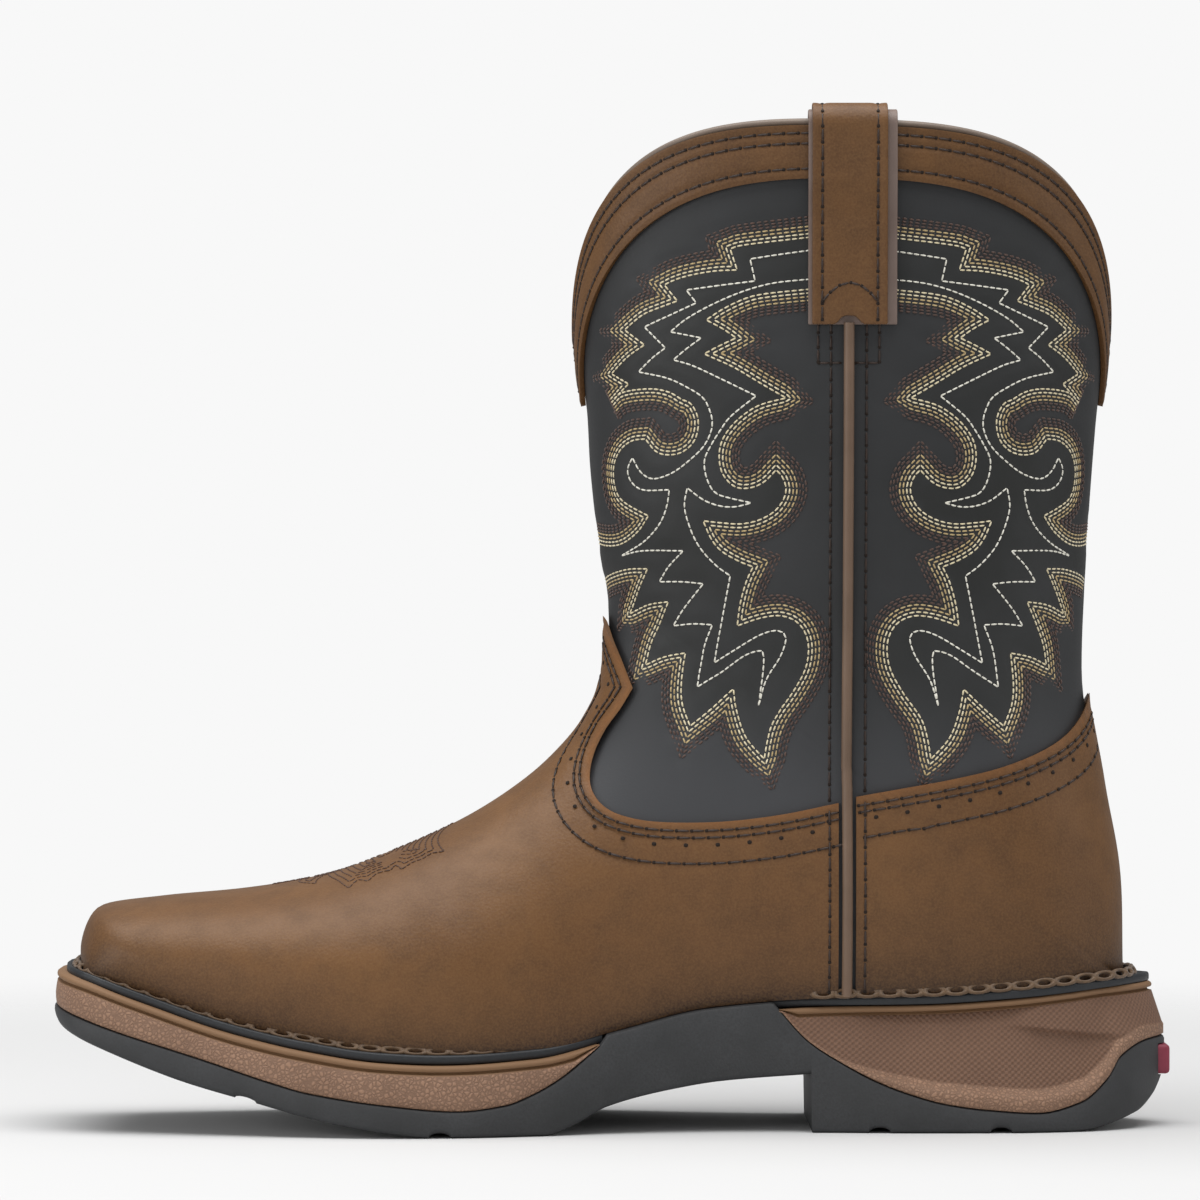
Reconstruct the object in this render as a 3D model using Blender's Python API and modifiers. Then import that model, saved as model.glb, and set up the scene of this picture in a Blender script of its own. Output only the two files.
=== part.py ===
"""Western pull-on boot, right foot, standing empty on its sole.

Metres, +Z up. The toe points along -X, the inner (medial) side of the foot is -Y and the floor is Z = 0.
All sizes below are millimetres and are turned into metres where the vertices are made.
"""

import math
from collections import namedtuple

import bmesh
import bpy
import numpy as np
from mathutils import Vector

MM = 0.001

# Driving dimensions
GAP = 0.3  # clearance between two pieces that meet
WALL = 2.4  # shaft leather with its lining
OVERLAY = 1.4  # vamp, counter and collar leather laid over the shaft
OVERLAY_LIFT = 0.5  # from the shaft to its under side
SIDE_SEAM_X = 64.8  # the side seam, on both sides of the shaft
SEAM_SLOT = 2.4  # half the slot that the vamp and counter leave for the piping
PIPING_RADIUS = 1.5
BEAD_RADIUS = 1.1  # rolled edge along the topline
WELT_THICK = 2.0
WELT_WIDTH = 7.8
WELT_INSET = 3.4  # its edge behind the sole's
HEEL_RAND_INSET = 4.8
REBATE_PLAY = 0.6  # the ledge for it in the midsole and heel stack is this much wider
INSOLE_THICK = 3.5
LIP_HEIGHT = 2.4  # rib along the top of the midsole and of the heel stack
LIP_GROOVE = 1.0
HEEL_RIM = 3.6  # raised rim along the foot of the heel stack's side panel
HEEL_PANEL_DEPTH = 1.2
TREAD_CHAMFER = 1.5
BREAST_X = 55.0  # front face of the heel
GROOVE_DEPTH = 1.4
GROOVE_MOUTH = 3.0  # half width of a tread groove at the floor
GROOVE_BED = 1.8  # half width of its bed
TREAD_GROOVES_X = (-100.8, -47.0, 73.7, 107.3)

# Sections of the upper from the toe edge, over the instep and round the heel, up to the collar. Each one is a
# plane through a low point (on the feather edge, then up the back seam) and a top point (on the ridge of the
# vamp, then up the front of the shaft). base and belly are half widths at the low point and at the widest
# place, belly_at is where that lies from low to top, crown and seat say how square the curve is above and
# below it, sway moves the whole section sideways and lean moves its top.
Section = namedtuple("Section", "name low_x low_z top_x top_z base belly belly_at crown seat sway lean")
SECTIONS = [
    Section("toe_edge", -141.0, 42.6, -146.2, 43.9, 27.5, 27.5, 0.30, 2.6, 2.0, 0.0, 0.0),
    Section("toe_wall", -133.0, 39.4, -146.8, 50.0, 30.0, 30.6, 0.30, 2.6, 2.0, 0.0, 0.0),
    Section("toe_brow", -121.0, 35.0, -143.2, 59.2, 33.2, 34.2, 0.30, 2.6, 2.0, 0.0, 0.0),
    Section("toe_top", -105.0, 30.3, -126.0, 62.0, 37.2, 38.6, 0.30, 2.5, 2.0, 0.0, 0.0),
    Section("toe_cap", -85.0, 25.9, -104.0, 64.1, 41.6, 43.2, 0.30, 2.4, 2.0, -0.3, -0.5),
    Section("tread", -64.0, 22.9, -81.0, 68.0, 44.8, 46.6, 0.30, 2.3, 2.0, -0.4, -1.0),
    Section("ball", -42.0, 22.2, -59.0, 75.8, 45.2, 47.0, 0.30, 2.15, 2.0, 0.8, -1.8),
    Section("waist", -20.0, 23.4, -37.0, 86.3, 42.4, 44.4, 0.30, 2.0, 2.0, 3.0, -2.8),
    Section("instep", 2.0, 28.6, -18.2, 99.8, 37.4, 40.0, 0.30, 1.95, 2.0, 4.4, -3.6),
    Section("arch", 26.0, 34.4, -7.0, 112.6, 33.0, 37.0, 0.33, 1.9, 2.0, 3.8, -3.2),
    Section("shank", 55.0, 36.8, -2.6, 121.8, 30.6, 35.0, 0.36, 1.9, 2.0, 1.8, -1.8),
    Section("throat", 88.0, 37.5, -1.0, 130.5, 29.2, 33.6, 0.40, 1.9, 2.1, 0.4, -0.4),
    Section("heel_mid", 115.0, 39.3, -0.9, 139.2, 26.6, 33.0, 0.42, 1.9, 2.2, 0.0, 0.0),
    Section("heel_turn", 132.0, 40.7, -1.2, 147.0, 19.5, 33.0, 0.44, 1.95, 2.3, 0.0, 0.0),
    Section("heel_curve", 138.6, 41.4, -1.6, 150.0, 12.6, 33.2, 0.445, 1.95, 2.3, 0.0, 0.0),
    Section("heel_back", 141.6, 41.8, -2.2, 153.0, 0.0, 33.4, 0.45, 1.95, 2.3, 0.0, 0.0),
    Section("counter", 141.6, 64.0, -3.4, 160.0, 0.0, 34.6, 0.46, 2.0, 2.2, 0.0, 0.0),
    Section("ankle_low", 136.5, 96.0, -4.4, 167.5, 0.0, 36.2, 0.48, 2.0, 2.1, 0.0, 0.0),
    Section("ankle", 131.9, 128.0, -5.4, 176.0, 0.0, 38.0, 0.50, 2.0, 2.0, 0.0, 0.0),
    Section("calf_low", 133.2, 160.0, -6.3, 186.0, 0.0, 40.6, 0.50, 2.0, 2.0, 0.0, 0.0),
    Section("calf", 135.6, 194.0, -6.9, 198.0, 0.0, 43.0, 0.50, 2.0, 2.0, 0.0, 0.0),
    Section("dip", 138.2, 221.0, -9.4, 220.0, 0.0, 44.6, 0.50, 2.0, 2.0, 0.0, 0.0),
    Section("collar", 140.6, 282.0, -12.4, 282.0, 0.0, 46.5, 0.50, 2.0, 2.0, 0.0, 0.0),
]
ROW = {section.name: index for index, section in enumerate(SECTIONS)}
QUARTER = 8  # facets in a quarter turn round the upper
QUARTER_CROWDING = 1.25  # facets crowd towards the front and back of the shaft

# Scalloped edges of the collar: low at front and back, high at the sides, as a superellipse seen from the side
# and a little higher towards the front
Scallop = namedtuple("Scallop", "dip peak power tilt")
TOPLINE = Scallop(220.0, 276.9, 3.1, 1.2)
COLLAR_FOOT = Scallop(201.5, 262.4, 2.7, 0.8)
DIP_ROUNDING = 0.05  # softens the scallop's notch at front and back

# Edges of the vamp and of the counter, seen from the side, from the shaft's front or back to the side seam
EdgePoint = namedtuple("EdgePoint", "x z")
VAMP_EDGE = [
    EdgePoint(-2.4, 142.5),
    EdgePoint(0.2, 135.8),
    EdgePoint(2.7, 130.2),
    EdgePoint(5.7, 122.5),
    EdgePoint(2.4, 117.0),
    EdgePoint(-1.7, 111.3),
    EdgePoint(-4.8, 105.1),
    EdgePoint(-6.2, 99.1),
    EdgePoint(-5.6, 94.2),
    EdgePoint(-2.3, 89.9),
    EdgePoint(3.5, 87.2),
    EdgePoint(13.2, 85.7),
    EdgePoint(29.7, 85.8),
    EdgePoint(46.2, 87.7),
    EdgePoint(SIDE_SEAM_X - SEAM_SLOT, 91.0),
]
COUNTER_EDGE = [
    EdgePoint(SIDE_SEAM_X + SEAM_SLOT, 92.7),
    EdgePoint(79.3, 94.9),
    EdgePoint(93.1, 97.4),
    EdgePoint(107.0, 100.6),
    EdgePoint(118.5, 104.9),
    EdgePoint(126.0, 109.4),
    EdgePoint(131.0, 114.9),
    EdgePoint(134.3, 121.7),
]

# The sole seen from below: half widths to the inner (medial) and outer (lateral) side
PlanRow = namedtuple("PlanRow", "x medial lateral")
SOLE_PLAN = [
    PlanRow(-156.0, 6.0, 6.0),
    PlanRow(-155.3, 15.0, 15.0),
    PlanRow(-153.4, 24.5, 24.5),
    PlanRow(-149.0, 32.0, 32.0),
    PlanRow(-141.0, 37.0, 37.0),
    PlanRow(-125.0, 41.2, 41.2),
    PlanRow(-105.0, 46.0, 45.8),
    PlanRow(-85.0, 51.0, 50.2),
    PlanRow(-62.0, 54.0, 53.0),
    PlanRow(-40.0, 52.0, 54.0),
    PlanRow(-20.0, 45.8, 52.2),
    PlanRow(0.0, 38.8, 47.6),
    PlanRow(20.0, 34.4, 42.4),
    PlanRow(40.0, 33.0, 38.2),
    PlanRow(60.0, 34.0, 36.6),
    PlanRow(85.0, 35.8, 36.2),
    PlanRow(110.0, 35.2, 35.2),
    PlanRow(130.0, 30.2, 30.2),
    PlanRow(143.0, 21.6, 21.6),
    PlanRow(150.5, 12.4, 12.4),
    PlanRow(154.0, 6.0, 6.0),
    PlanRow(154.9, 3.0, 3.0),
]

# Heights along the sole, seen from the side
HeightRow = namedtuple("HeightRow", "x z")
FEATHER = [  # where the upper meets the welt
    HeightRow(-156.0, 46.4),
    HeightRow(-146.2, 43.9),
    HeightRow(-133.0, 39.4),
    HeightRow(-105.0, 30.3),
    HeightRow(-85.0, 25.9),
    HeightRow(-64.0, 22.9),
    HeightRow(-46.0, 22.1),
    HeightRow(-20.0, 23.4),
    HeightRow(2.0, 28.6),
    HeightRow(26.0, 34.4),
    HeightRow(55.0, 36.8),
    HeightRow(88.0, 37.5),
    HeightRow(115.0, 39.3),
    HeightRow(141.6, 41.8),
    HeightRow(156.0, 42.6),
]
TREAD = [  # underside of the outsole, with toe spring, forefoot flat and arch
    HeightRow(-156.0, 32.6),
    HeightRow(-154.2, 29.8),
    HeightRow(-150.5, 27.2),
    HeightRow(-140.0, 22.8),
    HeightRow(-118.5, 14.8),
    HeightRow(-98.0, 9.2),
    HeightRow(-77.0, 3.9),
    HeightRow(-58.0, 0.8),
    HeightRow(-50.0, 0.0),
    HeightRow(-18.0, 0.0),
    HeightRow(-10.5, 2.6),
    HeightRow(-1.0, 7.6),
    HeightRow(15.4, 11.8),
    HeightRow(30.0, 14.2),
    HeightRow(BREAST_X, 16.2),
]
HEEL_TREAD = [  # underside of the heel
    HeightRow(BREAST_X, 0.0),
    HeightRow(128.0, 0.0),
    HeightRow(146.0, 4.2),
    HeightRow(151.6, 9.0),
    HeightRow(154.0, 13.6),
    HeightRow(154.9, 16.4),
]
OUTSOLE_RISE = [  # the outsole's upper edge: under the midsole, up over the arch, down round the heel stack
    HeightRow(-156.0, 34.6),
    HeightRow(-136.0, 27.8),
    HeightRow(-113.4, 21.0),
    HeightRow(-93.0, 14.6),
    HeightRow(-83.0, 12.0),
    HeightRow(-61.0, 8.8),
    HeightRow(-42.0, 7.2),
    HeightRow(-29.0, 8.6),
    HeightRow(-21.5, 11.4),
    HeightRow(-14.0, 15.6),
    HeightRow(-7.0, 21.2),
    HeightRow(-2.6, 25.4),
    HeightRow(6.0, 41.0),
    HeightRow(40.0, 41.0),
    HeightRow(45.2, 34.9),
    HeightRow(54.0, 25.3),
    HeightRow(62.8, 19.5),
    HeightRow(72.5, 14.3),
    HeightRow(81.0, 11.0),
    HeightRow(92.0, 7.9),
    HeightRow(103.5, 6.3),
    HeightRow(118.0, 5.4),
    HeightRow(129.7, 8.1),
    HeightRow(137.5, 14.3),
    HeightRow(141.6, 20.5),
    HeightRow(148.8, 24.3),
    HeightRow(154.9, 25.2),
]
MIDSOLE_END_X = -6.6
WELT_END_X = -4.9
HEEL_STACK_START_X = 48.6
HEEL_RAND_START_X = 47.6
HEEL_TOP_INSET = 6.6  # the heel stack narrows towards its top
STATION_STEP = 9.0  # spacing of the sole's cross sections

# Red tab let into the back of the heel
TAB_SIZE = (5.4, 17.0, 8.2)
TAB_CENTRE = (153.3, 0.0, 18.6)

# Pull straps: an outer ply on a wider backing ply, folded over the topline at each side seam
STRAP_X = 65.2
STRAP_FOOT_Z = 222.4
STRAP_INSIDE_Z = 238.0
STRAP_STEP = ((STRAP_FOOT_Z, 0.0), (240.0, 0.06), (252.0, 0.3), (262.0, 0.95), (TOPLINE.peak, 1.0))  # over the band
STRAP_TOP_Z = 280.4  # under side of the fold
STRAP_FOLD_STEPS = 6
STRAP_PLAY = 1.7  # room between a strap's inside run and the lining
StrapPly = namedtuple("StrapPly", "name lift thick width")
STRAP_PLIES = [StrapPly("backing", 0.0, 1.0, 25.0), StrapPly("strap", 1.3, 1.5, 19.6)]

# Colours in linear RGB, and roughness
Finish = namedtuple("Finish", "colour roughness")
FINISHES = {
    "brown_leather": Finish((0.145, 0.078, 0.038), 0.55),
    "slate_leather": Finish((0.052, 0.056, 0.060), 0.5),
    "mauve_leather": Finish((0.20, 0.15, 0.12), 0.55),
    "black_welt": Finish((0.016, 0.018, 0.022), 0.5),
    "brown_midsole": Finish((0.13, 0.078, 0.052), 0.7),
    "dark_rubber": Finish((0.040, 0.042, 0.045), 0.65),
    "red_rubber": Finish((0.30, 0.03, 0.05), 0.5),
    "tan_insole": Finish((0.33, 0.22, 0.13), 0.8),
}


# Curves

def smooth(rows, column="z", along="x"):
    """A function through one column of a table, rounded between its rows and level at each peak and dip."""
    xs = np.array([getattr(row, along) for row in rows], float)
    ys = np.array([getattr(row, column) for row in rows], float)
    return smooth_through(xs, ys)


def smooth_through(xs, ys):
    steps = np.diff(xs)
    rises = np.diff(ys) / steps
    slopes = np.zeros(len(xs))
    slopes[0], slopes[-1] = rises[0], rises[-1]
    for i in range(1, len(xs) - 1):
        before, after = rises[i - 1], rises[i]
        if before * after > 0:
            slopes[i] = 2 * before * after / (before + after)

    def value(x):
        x = min(max(x, xs[0]), xs[-1])
        i = min(max(int(np.searchsorted(xs, x, side="right")) - 1, 0), len(xs) - 2)
        t = (x - xs[i]) / steps[i]
        start = (1 + 2 * t) * (1 - t) ** 2 * ys[i] + t * (1 - t) ** 2 * slopes[i] * steps[i]
        end = t * t * (3 - 2 * t) * ys[i + 1] + t * t * (t - 1) * slopes[i + 1] * steps[i]
        return float(start + end)

    return value


def rounded_path(points, steps):
    """Points along a smooth curve through the given ones, at this many steps between neighbours."""
    index = np.arange(len(points), dtype=float)
    along_x = smooth_through(index, np.array([p.x for p in points], float))
    along_z = smooth_through(index, np.array([p.z for p in points], float))
    count = (len(points) - 1) * steps
    return [(along_x(k / steps), along_z(k / steps)) for k in range(count + 1)]


def bisect(low, high, is_below, rounds=34):
    for _ in range(rounds):
        middle = (low + high) / 2
        if is_below(middle):
            low = middle
        else:
            high = middle
    return (low + high) / 2


# The upper's own surface: around is 0 on the ridge and shaft front, -1 and +1 on the inner and outer feather
# edge or on the back seam, and row counts along SECTIONS

COLUMNS = {
    column: smooth_through(
        np.arange(len(SECTIONS), dtype=float), np.array([getattr(s, column) for s in SECTIONS], float)
    )
    for column in Section._fields[1:]
}


def upper_point(around, row):
    s = {column: curve(row) for column, curve in COLUMNS.items()}
    if abs(around) > 1:  # past the back seam, on to the other side
        around -= math.copysign(2, around)
    angle = abs(around) * math.pi
    cosine, sine = abs(math.cos(angle)), abs(math.sin(angle))
    if angle <= math.pi / 2:
        along = s["belly_at"] + (1 - s["belly_at"]) * cosine ** (2 / s["crown"])
        half = s["belly"] * sine ** (2 / s["crown"])
    else:
        openness = s["base"] / s["belly"]
        drop = 2 * abs(around) - 1
        round_along, round_half = 1 - cosine ** (2 / s["seat"]), sine ** (2 / s["seat"])
        along = s["belly_at"] * ((1 - openness) * round_along + openness * (1 - drop))
        share = (1 - openness) * round_half + openness * (1 - drop * drop)
        half = s["base"] + (s["belly"] - s["base"]) * share
    x = s["low_x"] + (s["top_x"] - s["low_x"]) * along
    z = s["low_z"] + (s["top_z"] - s["low_z"]) * along
    y = s["sway"] + math.copysign(half, around) + s["lean"] * along * along
    return Vector((x, y, z))


def upper_normal(around, row):
    """Unit vector out of the leather."""
    step = 0.004
    low_row, high_row = max(row - step, 0), min(row + step, len(SECTIONS) - 1)
    along_row = upper_point(around, high_row) - upper_point(around, low_row)
    along_turn = upper_point(around + step, row) - upper_point(around - step, row)
    return along_row.cross(along_turn).normalized()


def scallop_height(scallop, around):
    def rise(cosine):
        return (1 - (cosine * (1 - DIP_ROUNDING**2)) ** scallop.power) ** (1 / scallop.power)

    cosine = math.cos(around * math.pi)
    share = (rise(abs(cosine)) - rise(1.0)) / (1 - rise(1.0))
    return scallop.dip + (scallop.peak - scallop.dip + scallop.tilt * cosine) * share


def shaft_row(around, z):
    """The row at which the shaft reaches a height."""
    return bisect(ROW["ankle"], ROW["collar"], lambda row: upper_point(around, row).z < z)


def surface_at(x, z, side):
    """(around, row) of the surface point seen from one side at x and z. side is -1 inner, +1 outer."""

    def around_at(row):
        return bisect(0.0, 1.0, lambda a: upper_point(side * a, row).x < x)

    row = bisect(
        ROW["arch"], ROW["collar"], lambda r: upper_point(side * around_at(r), r).z < z
    )
    return side * around_at(row), row


def turns():
    """around values of the facet lines, from the inner edge over the front to the outer edge."""
    quarter = [0.5 * (i / QUARTER) ** QUARTER_CROWDING for i in range(QUARTER + 1)]
    half = quarter + [1 - a for a in reversed(quarter[:-1])]
    return [-a for a in reversed(half[1:])] + half


# Mesh helpers

def clear_scene():
    for obj in list(bpy.data.objects):
        bpy.data.objects.remove(obj)


def material(name):
    made = bpy.data.materials.get(name)
    if made is None:
        made = bpy.data.materials.new(name)
        made.use_nodes = True
        shader = made.node_tree.nodes["Principled BSDF"]
        shader.inputs["Base Color"].default_value = (*FINISHES[name].colour, 1.0)
        shader.inputs["Roughness"].default_value = FINISHES[name].roughness
        shader.inputs["Metallic"].default_value = 0.0
    return made


def add_object(name, mesh, finish, collection):
    obj = bpy.data.objects.new(name, mesh)
    collection.objects.link(obj)
    if finish:
        mesh.materials.append(material(finish))
    mesh.shade_smooth()
    mesh.set_sharp_from_angle(angle=math.radians(35))
    return obj


def mesh_from(name, rows, closed_rows=False, capped=False):
    """A mesh of quads between neighbouring rows of points in millimetres. closed_rows joins each row's ends, and
    capped closes the first and last row by quads from its first half across to its second."""
    bm = bmesh.new()
    grid = [[bm.verts.new(Vector(p) * MM) for p in row] for row in rows]
    span = len(rows[0]) if closed_rows else len(rows[0]) - 1
    for lower, upper in zip(grid, grid[1:]):
        for i in range(span):
            j = (i + 1) % len(lower)
            bm.faces.new((lower[i], upper[i], upper[j], lower[j]))
    if capped:
        for end in (grid[0], grid[-1]):
            up, down = end[: len(end) // 2], end[: len(end) // 2 - 1 : -1]
            for k in range(len(up) - 1):
                bm.faces.new((up[k], up[k + 1], down[k + 1], down[k]))
    bmesh.ops.remove_doubles(bm, verts=bm.verts, dist=1e-6)
    mesh = bpy.data.meshes.new(name)
    bm.to_mesh(mesh)
    bm.free()
    return mesh


def loft(name, loops, finish, collection):
    """A closed solid through loops of points that all have the same count."""
    mesh = mesh_from(name, loops, closed_rows=True, capped=True)
    bm = bmesh.new()
    bm.from_mesh(mesh)
    bmesh.ops.recalc_face_normals(bm, faces=bm.faces)
    bm.to_mesh(mesh)
    bm.free()
    return add_object(name, mesh, finish, collection)


def shell(name, rows, lift, thick, finish, collection):
    """A wall on the upper's surface, from lift above it to lift + thick. A negative thick goes inwards."""
    obj = add_object(name, mesh_from(name, rows), finish, collection)
    if lift:
        raise_up = obj.modifiers.new("lift", "DISPLACE")
        raise_up.direction = "NORMAL"
        raise_up.mid_level = 0.0
        raise_up.strength = lift * MM
    wall = obj.modifiers.new("wall", "SOLIDIFY")
    wall.thickness = abs(thick) * MM
    wall.offset = math.copysign(1.0, thick)
    wall.use_even_offset = True
    return obj


def cut(obj, cutter, operation):
    boolean = obj.modifiers.new(operation.lower(), "BOOLEAN")
    boolean.operation = operation
    boolean.object = cutter
    boolean.solver = "EXACT"


def prism(name, outline, half_depth, collection):
    """A cutter: an outline seen from the side, run through the whole width."""
    bm = bmesh.new()
    face = bm.faces.new([bm.verts.new(Vector((x, -half_depth, z)) * MM) for x, z in outline])
    run = bmesh.ops.extrude_face_region(bm, geom=[face])
    far = [item for item in run["geom"] if isinstance(item, bmesh.types.BMVert)]
    bmesh.ops.translate(bm, verts=far, vec=Vector((0, 2 * half_depth * MM, 0)))
    bmesh.ops.recalc_face_normals(bm, faces=bm.faces)
    mesh = bpy.data.meshes.new(name)
    bm.to_mesh(mesh)
    bm.free()
    obj = add_object(name, mesh, None, collection)
    obj.hide_render = True
    obj.display_type = "WIRE"
    return obj


# Upper, vamp, counter and collar

def fan_rows(last):
    """Facet rows from the toe edge up to a named section, closer together where the toe and heel turn."""
    between = [ROW[name] + 0.5 for name in ("toe_edge", "toe_wall", "toe_brow")]
    fan = sorted([*range(ROW[last] + 1), *between])
    return [[upper_point(a, row) for a in turns()] for row in fan]


def make_upper(parts):
    rows = fan_rows("calf")
    for share in (0.3, 0.55, 0.8, 1.0):
        ring = []
        for a in turns():
            start = upper_point(a, ROW["calf"]).z
            z = start + (scallop_height(TOPLINE, a) - start) * share
            ring.append(upper_point(a, shaft_row(a, z)))
        rows.append(ring)
    return shell("upper", rows, 0.0, -WALL, "slate_leather", parts)


def make_foot_overlay(name, outline, parts, cutters):
    """Brown leather over the foot, cut from the upper's own surface by an outline seen from the side."""
    overlay = shell(name, fan_rows("calf_low"), OVERLAY_LIFT, OVERLAY, "brown_leather", parts)
    cut(overlay, prism(name + "_outline", outline, 80.0, cutters), "INTERSECT")
    return overlay


def vamp_outline():
    edge = rounded_path(VAMP_EDGE, 2)
    foot = [(x, feather_z(x)) for x in np.linspace(edge[-1][0], -160.0, 20)]
    return [(-160.0, 142.5), *edge, *foot]


def counter_outline():
    edge = rounded_path(COUNTER_EDGE, 2)
    foot = [(x, feather_z(x)) for x in np.linspace(160.0, edge[0][0], 10)]
    return [*edge, (160.0, 121.7), *foot]


def make_collar_band(name, around, parts):
    rows = []
    for share in (0.0, 0.34, 0.67, 1.0):
        ring = []
        for a in around:
            foot, top = scallop_height(COLLAR_FOOT, a), scallop_height(TOPLINE, a)
            ring.append(upper_point(a, shaft_row(a, foot + (top - foot) * share)))
        rows.append(ring)
    return shell(name, rows, OVERLAY_LIFT, OVERLAY, "brown_leather", parts)


def make_collar(parts):
    seam = 0.496  # just short of the side seam, which is at half a turn
    front = [a for a in turns() if abs(a) < 0.47]
    make_collar_band("collar_band_front", [-seam, *front, seam], parts)
    inner = [a for a in turns() if a < -0.53]
    outer = [a for a in turns() if 0.53 < a < 1]
    back = [1 - seam, *outer, *inner, seam - 1]
    make_collar_band("collar_band_back", back, parts)


def make_topline_bead(parts):
    around = turns()[:-1]
    tops = [upper_point(a, shaft_row(a, scallop_height(TOPLINE, a))) for a in around]
    curve = bpy.data.curves.new("topline_bead", "CURVE")
    curve.dimensions = "3D"
    curve.bevel_depth = BEAD_RADIUS * MM
    curve.bevel_resolution = 1
    spline = curve.splines.new("POLY")
    spline.points.add(len(around) - 1)
    spline.use_cyclic_u = True
    for i, a in enumerate(around):
        normal = upper_normal(a, shaft_row(a, tops[i].z))
        edge = (tops[(i + 1) % len(tops)] - tops[i - 1]).normalized()
        up = normal.cross(edge)
        up = up if up.z > 0 else -up
        centre = tops[i] - normal * (WALL / 2 + 0.2) + up * (GAP + BEAD_RADIUS + 0.3)
        spline.points[i].co = (*(centre * MM), 1.0)
    obj = bpy.data.objects.new("topline_bead", curve)
    curve.materials.append(material("mauve_leather"))
    parts.objects.link(obj)


# Side seam piping and pull straps

def make_piping(name, side, parts):
    curve = bpy.data.curves.new(name, "CURVE")
    curve.dimensions = "3D"
    curve.bevel_depth = PIPING_RADIUS * MM
    curve.bevel_resolution = 1
    curve.use_fill_caps = True
    low = smooth(FEATHER)(SIDE_SEAM_X) + 1.2
    heights = np.linspace(low, STRAP_FOOT_Z - 1.0, 20)
    spline = curve.splines.new("POLY")
    spline.points.add(len(heights) - 1)
    for point, z in zip(spline.points, heights):
        around, row = surface_at(SIDE_SEAM_X, z, side)
        centre = upper_point(around, row) + upper_normal(around, row) * (GAP + PIPING_RADIUS + 0.1)
        point.co = (*(centre * MM), 1.0)
    obj = bpy.data.objects.new(name, curve)
    curve.materials.append(material("mauve_leather"))
    parts.objects.link(obj)


def strap_path(side):
    """(y, z, outward y, outward z) along the middle of a strap's inner face, from its foot over the fold to its
    inside end. Outward points away from the leather that the strap wraps."""
    band = OVERLAY_LIFT + OVERLAY + 2 * GAP
    path = []

    def half_width(z):
        return abs(upper_point(*surface_at(STRAP_X, z, side)).y)

    for z, share in STRAP_STEP:
        stand_off = 2 * GAP + (band - 2 * GAP) * share
        path.append((side * (half_width(z) + stand_off), z, side, 0.0))
    outside = abs(path[-1][0])
    inside = half_width(TOPLINE.peak) - WALL - STRAP_PLAY
    middle, radius = (outside + inside) / 2, (outside - inside) / 2
    centre_z = STRAP_TOP_Z - radius
    for step in range(1, STRAP_FOLD_STEPS):
        turn = math.pi * step / STRAP_FOLD_STEPS
        out, up = math.cos(turn), math.sin(turn)
        path.append((side * (middle + radius * out), centre_z + radius * up, side * out, up))
    for z in (centre_z, STRAP_INSIDE_Z):
        path.append((side * (half_width(min(z, TOPLINE.peak)) - WALL - STRAP_PLAY), z, -side, 0.0))
    return path


def make_strap(label, side, parts):
    for ply in STRAP_PLIES:
        loops = []
        for y, z, out_y, out_z in strap_path(side):
            loop = []
            for height, across in ((0, -1), (0, 1), (1, 1), (1, -1)):
                reach = ply.lift + ply.thick * height
                x = STRAP_X + across * ply.width / 2
                loop.append((x, y + out_y * reach, z + out_z * reach))
            loops.append(loop)
        finish = "brown_leather" if ply.name == "strap" else "mauve_leather"
        loft(f"pull_{ply.name}_{label}", loops, finish, parts)


# The sole

feather_z = smooth(FEATHER)
sole_medial = smooth(SOLE_PLAN, "medial")
sole_lateral = smooth(SOLE_PLAN, "lateral")
tread_z = smooth(TREAD)
heel_tread_z = smooth(HEEL_TREAD)
outsole_rise_z = smooth(OUTSOLE_RISE)


def groove_z(x):
    """How far a tread groove rises into the sole at x."""
    for middle in TREAD_GROOVES_X:
        away = abs(x - middle)
        if away < GROOVE_MOUTH:
            return GROOVE_DEPTH * min(1.0, (GROOVE_MOUTH - away) / (GROOVE_MOUTH - GROOVE_BED))
    return 0.0


def stations(start, end, extra=()):
    """x of the sole's cross sections: the rounded ends' own rows, and even steps between them."""
    ends = [row.x for row in SOLE_PLAN if row.x < -120 or row.x > 125]
    steps = list(np.arange(-120 + STATION_STEP, 125, STATION_STEP))
    xs = [start, end, *[x for x in [*ends, *steps, *extra] if start < x < end]]
    ordered = sorted(set(xs))
    return [x for i, x in enumerate(ordered) if i == 0 or x - ordered[i - 1] > 0.15]


def outline(xs, inset):
    """(inner, outer) plan points of the sole's edge at these stations, moved in by inset along its normal."""
    sides = []
    for sign, half in ((-1, sole_medial), (1, sole_lateral)):
        points = []
        for x in xs:
            step = 0.05
            slope = (half(x + step) - half(x - step)) / (2 * step)
            length = math.hypot(1.0, slope)
            reach = max(half(x) - inset / length, 0.5)
            points.append((x + inset * slope / length, sign * reach))
        sides.append(points)
    return list(zip(*sides))


def layer_loops(xs, levels):
    """Cross-section loops of a sole layer. levels run from its bottom to its top edge as (inset, height) pairs,
    each a function of x, and the loop goes up the inner side and down the outer side."""
    loops = []
    for x in xs:
        inner, outer = [], []
        for inset, height in levels:
            (inner_x, inner_y), (outer_x, outer_y) = outline([x], inset(x))[0]
            inner.append((inner_x, inner_y, height(inner_x)))
            outer.append((outer_x, outer_y, height(outer_x)))
        loops.append([*inner, *reversed(outer)])
    return loops


def always(value):
    return lambda x: value


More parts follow.
